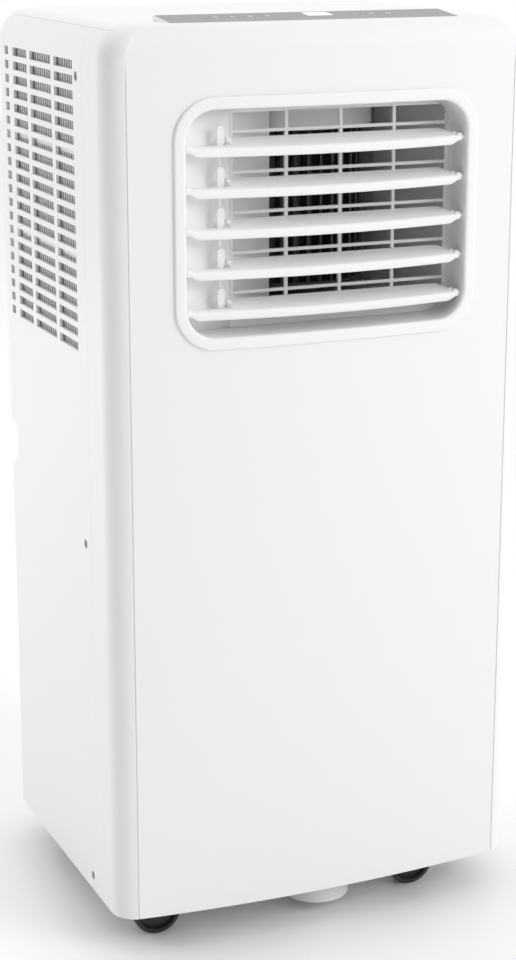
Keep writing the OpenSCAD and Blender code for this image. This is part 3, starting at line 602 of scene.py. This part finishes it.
def apply_modifiers(obj):
    """Bakes the modifiers of a piece into its mesh."""
    graph = bpy.context.evaluated_depsgraph_get()
    done = bpy.data.meshes.new_from_object(obj.evaluated_get(graph))
    obj.modifiers.clear()
    old = obj.data
    obj.data = done
    bpy.data.meshes.remove(old)


def cylinder_cut(centre, axis, radius, length, verts, faces, steps=48):
    """Adds a closed cylinder to the lists."""
    half = length / 2
    ring_mesh(centre, axis, [(radius, -half), (radius, half)], steps, verts, faces)


def grip_outline(back_y):
    """Outline of a hand grip in Y and Z, from its sloping inner end to back_y."""
    return [
        (HANDLE_Y, HANDLE_Z0 + 13), (HANDLE_Y, HANDLE_Z1 - 3), (HANDLE_Y + 7, HANDLE_Z1),
        (back_y, HANDLE_Z1), (back_y, HANDLE_Z0), (HANDLE_Y + 22, HANDLE_Z0),
    ]


def side_panel(s, name):
    """Side wall that turns the rear corner, with its slots, screw holes and hand grip."""
    obj = casing_part("casing_" + name, name, is_side(s))
    verts, faces = [], []
    x_in = s * (HALF_W - HANDLE_DEPTH)
    prism(grip_outline(BACK_Y + 2 * REACH), x_in, s * (HALF_W + REACH / 2), verts, faces)
    for z in SCREW_Z:
        cylinder_cut((s * HALF_W, SCREW_Y, z), (1, 0, 0), SCREW_R, 2 * REACH, verts, faces, 32)
    if s < 0:
        lo, hi = box_mm("cord_inlet")
        mid = (lo + hi) / 2
        cylinder_cut((mid.x, BACK_Y, mid.z), (0, 1, 0), CORD_HOLE_R, 2 * REACH, verts, faces, 32)
    apply_modifiers(obj)
    cut(obj, verts, faces, "cut_" + name)
    bevel(obj, 0.3)
    # liner of the hand grip: two rings of six points, open at the side and at the back
    x_out = s * (HALF_W - 1.2)
    verts = [(x, min(y, BACK_Y - 0.8), z) for x in (x_out, x_in) for y, z in grip_outline(BACK_Y)]
    faces = [(5, 0, 6, 11), (0, 1, 7, 6), (1, 2, 8, 7), (2, 3, 9, 8), (4, 5, 11, 10), (6, 7, 8, 9, 10, 11)]
    liner = add_piece("grip_liner_" + name, verts, faces, MATS["casing_white"], sharp=20)
    flip_outward(liner, (s * HALF_W, BACK_Y, (HANDLE_Z0 + HANDLE_Z1) / 2), -1)
    solidify(liner, 1.6)
    bevel(liner, 0.6)


def rear_panel():
    """Back wall with the window for the grille, the louvres and the round outlets."""
    obj = casing_part("casing_rear_panel", "rear_panel", is_back)
    verts, faces = [], []
    y0, y1 = BACK_Y - REACH, BACK_Y + REACH
    lo, hi = box_mm("rear_grille")
    gap = 0.4
    box_mesh((lo.x - gap, y0, lo.z - gap), (hi.x + gap, y1, hi.z + gap), verts, faces)
    for z in LOUVRE_Z:
        for x in LOUVRE_X:
            box_mesh((x - LOUVRE_HALF_W, y0, z - LOUVRE_HALF_H), (x + LOUVRE_HALF_W, y1, z + LOUVRE_HALF_H),
                     verts, faces)
    for node, radius in (("exhaust_collar", 67.2), ("drain_plug_lower", 8.3), ("drain_plug_upper", 8.3)):
        lo, hi = box_mm(node)
        mid = (lo + hi) / 2
        cylinder_cut((mid.x, BACK_Y, mid.z), (0, 1, 0), radius, 2 * REACH, verts, faces, 96)
    apply_modifiers(obj)
    cut(obj, verts, faces, "cut_rear")
    bevel(obj, 0.5)


def top_cover():
    """The lid: a rim that follows the casing and one flat top inside it."""
    first = next(i for i, z in enumerate(ROW_Z) if z >= LID_Z - 1e-6)
    rows = len(ROW_Z) - first
    pts = CASING[first * RING:]
    faces = grid_faces(rows, RING, lambda r, c: cell_of(c)[0] < I_LID)
    top = range((rows - 1) * RING, rows * RING - 1)
    for c, i in enumerate(top):
        if min(c, RING - 1 - c) > I_LID:
            x, y, z = pts[i]
            pts[i] = (x, y + SEAM, z)
    obj = casing_sheet("casing_top_cover", pts, faces + [tuple(top)])
    # even thickness makes spikes where the flat top meets the rim
    solidify(obj, WALL, False)
    bevel(obj, 0.12)
    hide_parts("top_cover")


bevel(casing_part("casing_front", "front_casing", is_front), 0.3)
side_panel(-1, "side_panel_left")
side_panel(1, "side_panel_right")
rear_panel()
top_cover()


# ---------- control strip ----------

TILT = math.radians(6.3)
PANEL_ORIGIN = Vector((0, -100, TOP_Z + 1.3))
PANEL_HALF = 113.0    # half length of the strip
PANEL_REAR = 22.0     # its straight rear edge, along its own depth
PANEL_FRONT = -6.5    # its front edge bows out from here, like the front
BUTTON_X = (-72, -58.6, -45.2, -31.8, 37.5, 51, 64.5)
BUTTON_Y = 8.0
BUTTON_HOLE_R = 5.3
DISPLAY_V0, DISPLAY_V1 = 5, 19
LAMP_V = -1.5         # row of lamp marks in front of the keys


def on_panel(u, v, w=0.0):
    """Point of the tilted control strip in the row frame."""
    return (u, PANEL_ORIGIN.y + v * math.cos(TILT) - w * math.sin(TILT),
            PANEL_ORIGIN.z + v * math.sin(TILT) + w * math.cos(TILT))


def panel_block(name, grow, top, bottom, slot):
    """A slab with the outline of the control strip, grown all round."""
    half = PANEL_HALF + grow
    steps = 48
    outline = []
    for i in range(steps + 1):
        u = -half + 2 * half * i / steps
        outline.append((u, PANEL_FRONT - BOW - grow + u * u / (2 * BOW_R)))
    outline += [(half, PANEL_REAR + grow), (-half, PANEL_REAR + grow)]
    verts, faces = [], []
    closed_slab([on_panel(u, v, top) for u, v in outline], [on_panel(u, v, bottom) for u, v in outline],
                verts, faces)
    return add_piece(name, verts, faces, MATS[slot], sharp=30)


wedge = panel_block("control_wedge", 0.8, -0.25, -6.0, "casing_white")
bevel(wedge, 0.5, 3)

strip = panel_block("control_strip", -0.2, 0.0, -2.6, "panel_grey")
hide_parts("control_panel")
cut_v, cut_f = [], []
panel_up = (0, -math.sin(TILT), math.cos(TILT))
for x in BUTTON_X:
    cylinder_cut(on_panel(x, BUTTON_Y), panel_up, BUTTON_HOLE_R, 12, cut_v, cut_f, 40)
lens_lo, lens_hi = box_mm("display_lens")
lens_x0, lens_x1 = lens_lo.x - 0.1, lens_hi.x + 0.1
box_faces(len(cut_v), cut_f)
for w in (-8, 8):
    cut_v += [on_panel(lens_x0, DISPLAY_V0, w), on_panel(lens_x1, DISPLAY_V0, w),
              on_panel(lens_x1, DISPLAY_V1, w), on_panel(lens_x0, DISPLAY_V1, w)]
cut(strip, cut_v, cut_f, "cut_strip")
bevel(strip, 0.15)

ICON_WHITE = plastic("icon_white_print", (0.92, 0.93, 0.94), 0.5, tone=0.01)


def spokes(start, step, count):
    """Evenly spaced angles, in radians."""
    return [math.radians(start + step * k) for k in range(count)]


def dashes(r, half_len, half_w, angles):
    """Short strokes along a circle."""
    return [(r * math.cos(a), r * math.sin(a), half_len, half_w, math.degrees(a) + 90) for a in angles]


def icon_bars(kind):
    """Strokes of a generic icon in the strip's plane: centre, half length, half width, angle."""
    if kind == "power":
        return [(0, 1.7, 0.9, 0.3, 90)] + dashes(1.7, 0.42, 0.3, spokes(125, 29, 11))
    if kind == "fan":
        return [(math.cos(a), math.sin(a), 0.95, 0.45, math.degrees(a) + 20) for a in spokes(90, 120, 3)]
    if kind == "star":
        return [(0, 0, 2.2, 0.28, 60 * k) for k in range(3)]
    if kind == "plus":
        return [(0, 0, 2.0, 0.36, 0), (0, 0, 2.0, 0.36, 90)]
    if kind == "minus":
        return [(0, 0, 2.0, 0.36, 0)]
    if kind == "clock":
        hands = [(0.5, 0, 0.7, 0.25, 0), (0, 0.6, 0.8, 0.25, 90)]
        return hands + dashes(1.9, 0.42, 0.26, spokes(0, 27.7, 13))
    return [(0, 1.3 - 1.3 * k, 1.9 - 0.3 * k, 0.3, 0) for k in range(3)]


def icon(name, kind, x, v, body, scale=1.0, top=0.0):
    """An icon of thin raised strokes on the strip."""
    verts, faces = [], []
    for cx, cy, half_len, half_w, deg in icon_bars(kind):
        a = math.radians(deg)
        box_faces(len(verts), faces)
        for w in (top - 0.05, top + 0.07):
            for sx, sy in ((-1, -1), (1, -1), (1, 1), (-1, 1)):
                u = cx + sx * half_len * math.cos(a) - sy * half_w * math.sin(a)
                t = cy + sx * half_len * math.sin(a) + sy * half_w * math.cos(a)
                verts.append(on_panel(x + u * scale, v + t * scale, w))
    add_piece(name, verts, faces, ICON_WHITE, body)


KINDS = ("power", "fan", "star", "bars", "minus", "plus", "clock")
for i, (x, kind) in enumerate(zip(BUTTON_X, KINDS), 1):
    icon(f"key_icon_{i}", kind, x, BUTTON_Y, f"button_{i}")
for i, x in enumerate(BUTTON_X, 1):
    icon(f"lamp_mark_{i}", "minus", x - 2, LAMP_V, "cabinet", 0.55)
icon("display_digits", "bars", (lens_x0 + lens_x1) / 2, (DISPLAY_V0 + DISPLAY_V1) / 2, "cabinet", 1.6, 0.02)


# ---------- air outlet ----------


def round_rect_points(half_w, half_h, r, corner=14, straight=10):
    """Points round a rectangle with round corners, always the same count."""
    pts = []
    centres = ((1, 1, 0), (-1, 1, 90), (-1, -1, 180), (1, -1, 270))
    for k, (sx, sz, a0) in enumerate(centres):
        cx, cz = sx * (half_w - r), sz * (half_h - r)
        for i in range(corner + 1):
            a = math.radians(a0 + 90 * i / corner)
            pts.append((cx + r * math.cos(a), cz + r * math.sin(a)))
        nx, nz, n0 = centres[(k + 1) % 4]
        a = math.radians(n0)
        end = (nx * (half_w - r) + r * math.cos(a), nz * (half_h - r) + r * math.sin(a))
        last = pts[-1]
        for i in range(1, straight):
            t = i / straight
            pts.append((last[0] + (end[0] - last[0]) * t, last[1] + (end[1] - last[1]) * t))
    return pts


def outlet_ring():
    """Raised ring and the tube behind it."""
    half_w, half_h, r = BEZEL_HI.x, (BEZEL_HI.z - BEZEL_LO.z) / 2, 31.0
    proud = 2.2
    # (in from the outer edge, back from the front surface): edge, flat, then round into the recess
    quarter = [math.radians(15 * k) for k in range(1, 7)]
    profile = [(0.0, 0.8), (0.0, -0.7)]
    profile += [(1.6 * (1 - math.cos(a)), -0.7 - 1.5 * math.sin(a)) for a in quarter]
    profile += [(4.5, -proud), (6.8, -proud)]
    profile += [(6.8 + 2.2 * math.sin(a), -proud + 2.2 * (1 - math.cos(a))) for a in quarter]
    rings = []
    for d, dy in profile:
        pts = round_rect_points(half_w - d, half_h - d, r - d)
        rings.append([(x, bow_y(x) + dy, VENT_MID_Z + z) for x, z in pts])
    # walls of the recess, back to the guard grid
    back = GRID_LO.y
    for t, d in ((0.25, 9.1), (0.5, 9.2), (0.75, 9.35), (0.94, 9.6), (1.0, 10.3)):
        pts = round_rect_points(half_w - d, half_h - d, r - d)
        rings.append([(x, bow_y(x) + (back - bow_y(x)) * t, VENT_MID_Z + z) for x, z in pts])
    verts = [p for ring in rings for p in ring]
    faces = grid_faces(len(rings), len(rings[0]), closed=True)
    obj = add_piece("outlet_ring", verts, faces, MATS["vent_white"], sharp=60)
    foremost = min(obj.data.polygons, key=lambda p: p.center.y)
    if foremost.normal.y > 0:
        obj.data.flip_normals()
    solidify(obj, 1.6)
    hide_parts("vent_bezel")


def recess_back():
    """Plate round the guard grid, with the curved left part."""
    verts, faces = [], []
    inside = 8.2
    y0, y1 = GRID_LO.y, GRID_LO.y + 2.2
    x0, x1 = BEZEL_LO.x + inside, BEZEL_HI.x - inside
    z0, z1 = BEZEL_LO.z + inside, BEZEL_HI.z - inside
    outline = [(GRID_LO.x, z1), (x1, z1), (x1, z0), (GRID_LO.x, z0), (GRID_LO.x, GRID_LO.z),
               (GRID_HI.x, GRID_LO.z), (GRID_HI.x, GRID_HI.z), (GRID_LO.x, GRID_HI.z)]
    plate_y(outline, y0, y1, verts, faces)
    bevel(add_piece("recess_plate", verts, faces, MATS["vent_white"]), 0.25)
    rows, cols, depth = 13, 17, 17.0
    verts = []
    for row in range(rows):
        z = z0 + (z1 - z0) * row / (rows - 1)
        for k in range(cols):
            t = k / (cols - 1)
            y = y0 - depth * (1 - math.sin(t * math.pi / 2)) ** 1.15
            verts.append((x0 + (GRID_LO.x - x0) * t, y, z))
    sweep = add_piece("recess_sweep", verts, grid_faces(rows, cols),
                      MATS["vent_white"], sharp=60)
    if sum(p.normal.y for p in sweep.data.polygons) > 0:
        sweep.data.flip_normals()
    solidify(sweep, 1.5)


def blower_shroud():
    """Curved lip of the blower housing, round the top of the wheel."""
    lo, hi = box_mm("blower_wheel")
    cx, cy = (lo.x + hi.x) / 2, (lo.y + hi.y) / 2
    radius = (hi.x - lo.x) / 2 + 5
    z0, z1 = hi.z - 2, box_mm("blower_scroll")[1].z - 2.6
    cols = 49
    verts = []
    for z in (z0, z1):
        for k in range(cols):
            a = math.radians(190 + 160 * k / (cols - 1))
            verts.append((cx + radius * math.cos(a), cy + radius * math.sin(a), z))
    shroud = add_piece("blower_shroud", verts, grid_faces(2, cols),
                       MATS["grid_grey"], sharp=60)
    flip_outward(shroud, (cx, cy, z1))
    solidify(shroud, 1.4)
    bevel(shroud, 0.3)


outlet_ring()
recess_back()
blower_shroud()

SLAT_TILT = math.radians(15)
SLAT_PITCH = 29.1
SLAT_Z = [VENT_MID_Z - 5 + (3 - i) * SLAT_PITCH for i in range(1, 6)]   # pivots, from the top down
SLAT_AXIS_Y = -126.5
SLAT_HALF = 108.3                    # half length, without the pins
BLADE_X0, BLADE_X1 = -74.0, 104.0    # where the blade is at full depth
NOSE_V = -8.2                        # depths from the pivot: front edge at the middle,
STRIP_V = 3.5                        # rear edge of the narrow ends,
REAR_V = 17.5                        # rear edge of the blade,
CRANK_V = 12                         # crank pin
BLADE_TAPER, BLADE_CUT = 5, 8        # length and depth of the cut at its right rear corner


def slat_point(i, x, v, w):
    """Point of slat i in the row frame from its own depth v and thickness w."""
    y = SLAT_AXIS_Y + v * math.cos(SLAT_TILT) - w * math.sin(SLAT_TILT)
    return (x, y, SLAT_Z[i - 1] + v * math.sin(SLAT_TILT) + w * math.cos(SLAT_TILT))


def slat_stations():
    """(x, front edge, rear edge) along a slat."""
    xs = [-SLAT_HALF, -107.6, -106.6, -105.6, -104.6, -103.5, -102.3, -101, -100, -93, -86, -78]
    xs += [BLADE_X0 - 1.2, BLADE_X0 - 0.2, BLADE_X0, -66]
    xs += [-54 + 12 * k for k in range(13)]
    xs += [96, 99, 100, 101, 102.3, 103.2, BLADE_X1, BLADE_X1 + 0.3, 105.6, 106.6, 107.6, SLAT_HALF]
    out = []
    for x in xs:
        v0 = NOSE_V + x * x / (2 * BOW_R)
        if x < BLADE_X0 - 0.1 or x > BLADE_X1 + 0.1:
            v1 = STRIP_V
        elif x > BLADE_X1 - BLADE_TAPER:
            v1 = REAR_V - BLADE_CUT * (x - (BLADE_X1 - BLADE_TAPER)) / BLADE_TAPER
        else:
            v1 = REAR_V
        # the last two stations round the ends in plan
        if abs(x) > 107:
            shrink = 0.35 if abs(x) < 108 else 1.0
            v0 += shrink
            v1 -= shrink
        out.append((x, v0, v1))
    return out


def slat_profile(v0, v1, lip):
    """Closed section of a slat: rounded nose, thin tail, and a lip below the nose for a lip of 1."""
    low = -2.05 - 2.95 * lip
    nose = [(2.4, 2.05), (1.3, 1.85), (0.55, 1.35), (0.12, 0.6), (0, -0.3 - 0.4 * lip)]
    nose += [(0.02, low + 1.3), (0.3, low + 0.5), (0.9, low + 0.08), (1.6, low)]
    nose += [(2.3, low + 0.3 * lip), (2.8, -2.0 - 1.5 * lip), (3.4, -1.95 - 0.5 * lip), (4.6, -1.85)]
    pts = [(v0 + v, w) for v, w in nose]
    mid = v0 + 5.2 + (v1 - v0 - 5.2) * 0.5
    tail = v1 - 0.9
    pts += [(mid, -1.5), (tail, -1.05)]
    for k in range(1, 6):
        a = math.radians(-90 + 30 * k)
        pts.append((tail + 0.9 * math.cos(a), 1.05 * math.sin(a)))
    pts += [(tail, 1.05), (mid, 1.6)]
    return pts


def slat(i):
    """One slat with its pivot pins, its crank pin and the rib at its right end."""
    verts = []
    stations = slat_stations()
    for x, v0, v1 in stations:
        lip = min(1.0, max(0.0, (107.0 - abs(x)) / 7.0))
        lip = lip * lip * (3 - 2 * lip)
        verts += [slat_point(i, x, v, w) for v, w in slat_profile(v0, v1, lip)]
    count = len(verts) // len(stations)
    faces = grid_faces(len(stations), count, closed=True)
    faces.append(tuple(range(count)))
    faces.append(tuple(reversed(range(len(verts) - count, len(verts)))))
    axis = (1, 0, 0)
    # pivot pins with their shoulders
    for s in (-1, 1):
        profile = [(3.0, -3), (3.0, 0.7), (2.7, 1.0), (1.55, 1.0), (1.55, 3.9), (1.2, 4.3)]
        ring_mesh(slat_point(i, s * SLAT_HALF, 0, 0), (s, 0, 0), profile, 24, verts, faces)
    # ear and crank pin that the link rod turns on
    c = slat_point(i, BLADE_X0 + 0.5, CRANK_V, 0)
    ring_mesh(c, axis, [(2.6, -1), (2.9, -0.6), (2.9, 2.6), (2.6, 3.0)], 24, verts, faces)
    ring_mesh(c, axis, [(1.2, -7.6), (1.55, -7.2), (1.55, 0)], 20, verts, faces)
    # round end of the pivot rib at the right
    c = slat_point(i, BLADE_X1 + 0.6, STRIP_V, 0)
    ring_mesh(c, axis, [(2.3, -1.6), (2.6, -1.3), (2.6, 1.3), (2.3, 1.6)], 20, verts, faces)
    obj = add_piece(f"slat_{i}_blade", verts, faces, MATS["slat_white"],
                    f"slat_{i}", sharp=40)
    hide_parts(f"slat_{i}")


for i in range(1, 6):
    slat(i)


def link_rod():
    """Rod with an ear over each crank pin."""
    lo, hi = box_mm("slat_link")
    verts, faces = [], []
    mid_x = (lo.x + hi.x) / 2
    mid_y = (lo.y + hi.y) / 2
    box_mesh((mid_x - 1.1, mid_y - 0.6, lo.z + 3), (mid_x + 1.1, mid_y + 1.6, hi.z - 6), verts, faces)
    eye = [(1.62, -2.9), (2.5, -2.9), (2.7, -2.6), (2.7, 2.6), (2.5, 2.9), (1.62, 2.9)]
    for z in SLAT_Z:
        pin = z + CRANK_V * math.sin(SLAT_TILT)
        plate_y(oblong(mid_x, pin + 4.5, 2.9, 7.4), mid_y - 2.3, mid_y - 0.7, verts, faces)
        ring_mesh((mid_x, mid_y, pin), (1, 0, 0), eye, 28, verts, faces, True)
    obj = add_piece("slat_link_rod", verts, faces, MATS["slat_white"], "slat_link", sharp=35)
    bevel(obj, 0.45, 3)
    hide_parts("slat_link")


link_rod()


# ---------- coils, filter and wheels ----------


def coil(name, node):
    """Fin pack with its end plates and the tubes that pass through it."""
    lo, hi = box_mm(node)
    verts, faces = [], []
    count, edge, half = 150, 3, 0.12
    for k in range(count):
        x = lo.x + edge + (hi.x - lo.x - 2 * edge) * k / (count - 1)
        box_mesh((x - half, lo.y + edge, lo.z + edge), (x + half, hi.y - edge, hi.z - edge), verts, faces)
    fins = add_piece(name + "_fins", verts, faces, MATS["fin_aluminium"])
    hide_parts(node)
    verts, faces = [], []
    plate = 2
    for x in (lo.x, hi.x - plate):
        box_mesh((x, lo.y, lo.z), (x + plate, hi.y, hi.z), verts, faces)
    plates = add_piece(name + "_plates", verts, faces, MATS["galvanised"])
    bevel(plates, 0.4)
    verts, faces = [], []
    pitch, radius = 12, 3.0
    tube = [(radius, 0), (radius, hi.x - lo.x - 2)]
    z = lo.z + 15
    while z < hi.z - pitch:
        for y in (lo.y + 9, lo.y + 21):
            ring_mesh((lo.x + 1, y, z), (1, 0, 0), tube, 16, verts, faces)
        z += pitch
    add_piece(name + "_tubes", verts, faces, MATS["copper"])


coil("condenser", "condenser_coil")
coil("evaporator", "evaporator_coil")


def filter_screen():
    """Fine woven screen over the frame bars of the filter."""
    lo, hi = box_mm("filter_mesh")
    verts, faces = [], []
    pitch, half = 3.1, 0.2
    y = (lo.y + hi.y) / 2
    for k in range(1, int((hi.x - lo.x) / pitch)):
        x = lo.x + k * pitch
        box_mesh((x - half, y - 0.25, lo.z + 1), (x + half, y + 0.15, hi.z - 1), verts, faces)
    for k in range(1, int((hi.z - lo.z) / pitch)):
        z = lo.z + k * pitch
        box_mesh((lo.x + 1, y - 0.15, z - half), (hi.x - 1, y + 0.25, z + half), verts, faces)
    add_piece("filter_weave", verts, faces, MATS["fan_grey"], "rear_filter")


filter_screen()


def wheel(i):
    """Twin-rim caster wheel with a rounded tread, a web and a hub."""
    lo, hi = box_mm(f"caster_wheel_{i}")
    r = (hi.z - lo.z) / 2
    half = (hi.y - lo.y) / 2
    tread_r = 1.6
    # (radius, in from the side face): hub, web, rim, then the rounded tread
    section = [(2.1, 0.5), (4.4, 0.1), (5.0, 0.5), (5.6, 1.9), (7.5, 1.5)]
    section += [(r - 6.5, 2.2), (r - 4.4, 2.6), (r - 3.9, 0.5), (r - 3.4, 0), (r - tread_r, 0)]
    for k in range(1, 6):
        a = math.radians(18 * k)
        section.append((r - tread_r + tread_r * math.sin(a), tread_r * (1 - math.cos(a))))
    profile = [(out, d - half) for out, d in section]
    profile += [(r, -1.1), (r - 0.6, -0.7), (r - 0.6, 0.0)]
    profile += [(out, -d) for out, d in reversed(profile[:-1])]
    verts, faces = [], []
    ring_mesh((lo + hi) / 2, (0, 1, 0), profile, 72, verts, faces, True)
    obj = add_piece(f"caster_{i}_wheel", verts, faces, MATS["caster_black"],
                    f"caster_wheel_{i}", 40)
    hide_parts(f"caster_wheel_{i}")


for i in range(1, 5):
    wheel(i)


# ---------- CAD nodes that stay ----------

# millimetres of rounding along the edges of each
ROUNDED = {
    "vent_grid": 0.3, "base_pan": 0.6, "drain_sump": 1.2, "rear_grille": 0.5, "exhaust_collar": 0.7,
    "control_box": 0.6, "exhaust_duct": 0.6, "condenser_scroll": 0.4, "blower_scroll": 0.4,
    "partition_deck": 0.5, "cord_inlet": 0.8, "drain_plug_lower": 0.7, "drain_plug_upper": 0.7,
    "casing_screws": 0.4, "run_capacitor": 0.6, "condenser_motor": 1.5, "blower_motor": 1.5,
    "side_screen_left": 0.25, "side_screen_right": 0.25, "accumulator": 1.0, "display_lens": 0.2,
}
ROUNDED.update({f"caster_fork_{i}": 0.5 for i in range(1, 5)})
ROUNDED.update({f"button_{i}": 0.25 for i in range(1, 8)})
for sub in frame["record"]["subparts"]:
    node = NODES[sub["node"]]
    if node.hide_render:
        continue
    node.data.materials.clear()
    node.data.materials.append(MATS[sub["material_slot"]])
    if sub["node"] in ROUNDED:
        weld = node.modifiers.new("weld", "WELD")
        weld.merge_threshold = 1e-5
        bevel(node, ROUNDED[sub["node"]], 2, 40)


# ---------- floor, light and camera, in metres ----------

DIM_DIRECTION = (-0.85, -0.5, -0.1)


def studio():
    """Pale floor under soft surroundings."""
    mesh = bpy.data.meshes.new("floor")
    half = 6.0
    corners = [(-half, -half, 0), (half, -half, 0), (half, half, 0), (-half, half, 0)]
    mesh.from_pydata(corners, [], [(0, 1, 2, 3)])
    floor = bpy.data.objects.new("floor", mesh)
    bpy.context.scene.collection.objects.link(floor)
    mat, nodes, links, bsdf = base_material("floor_pale", (0.93, 0.93, 0.93), 0.35)
    vary(nodes, links, bsdf, "Base Color", 3, (0.92, 0.92, 0.92), (0.94, 0.94, 0.94))
    floor.data.materials.append(mat)
    bpy.context.scene.world = soft_world()


def soft_world():
    """White surroundings that are dimmer towards the front left."""
    world = bpy.data.worlds.new("studio")
    world.use_nodes = True
    nodes, links = world.node_tree.nodes, world.node_tree.links
    nodes["Background"].inputs["Color"].default_value = (1, 1, 1, 1)
    coord = nodes.new("ShaderNodeTexCoord")
    dot = nodes.new("ShaderNodeVectorMath")
    dot.operation = "DOT_PRODUCT"
    dot.inputs[1].default_value = Vector(DIM_DIRECTION).normalized()
    fade = nodes.new("ShaderNodeMapRange")
    fade.interpolation_type = "SMOOTHSTEP"
    fade.inputs["From Min"].default_value = 0.2
    fade.inputs["From Max"].default_value = 0.95
    fade.inputs["To Min"].default_value = 1.0
    fade.inputs["To Max"].default_value = 0.25
    links.new(coord.outputs["Generated"], dot.inputs[0])
    links.new(dot.outputs["Value"], fade.inputs["Value"])
    links.new(fade.outputs["Result"], nodes["Background"].inputs["Strength"])
    return world


def area_light(name, place, target, size, power):
    """Square soft light that doesn't show in reflections."""
    data = bpy.data.lights.new(name, "AREA")
    data.energy = power
    data.shape = "SQUARE"
    data.size = size
    lamp = bpy.data.objects.new(name, data)
    lamp.visible_glossy = False
    lamp.location = place
    lamp.rotation_euler = (Vector(target) - Vector(place)).to_track_quat("-Z", "Y").to_euler()
    bpy.context.scene.collection.objects.link(lamp)


studio()
area_light("key", (1.7, -2.3, 1.8), (0, 0, 0.4), 1.4, 28)
area_light("left", (-1.9, 2.1, 1.2), (0, 0, 0.35), 1.2, 26)

# place, angles and lens that were solved with the object's proportions
cam_data = bpy.data.cameras.new("camera")
cam_data.lens = 79.74
cam_data.sensor_width = 36
camera = bpy.data.objects.new("camera", cam_data)
camera.location = (-0.6518, -1.5175, 0.7856)
camera.rotation_euler = (math.radians(74.541), 0, math.radians(-23.265))
bpy.context.scene.collection.objects.link(camera)
bpy.context.scene.camera = camera
bpy.context.scene.view_settings.view_transform = "Standard"

bpy.context.view_layer.update()
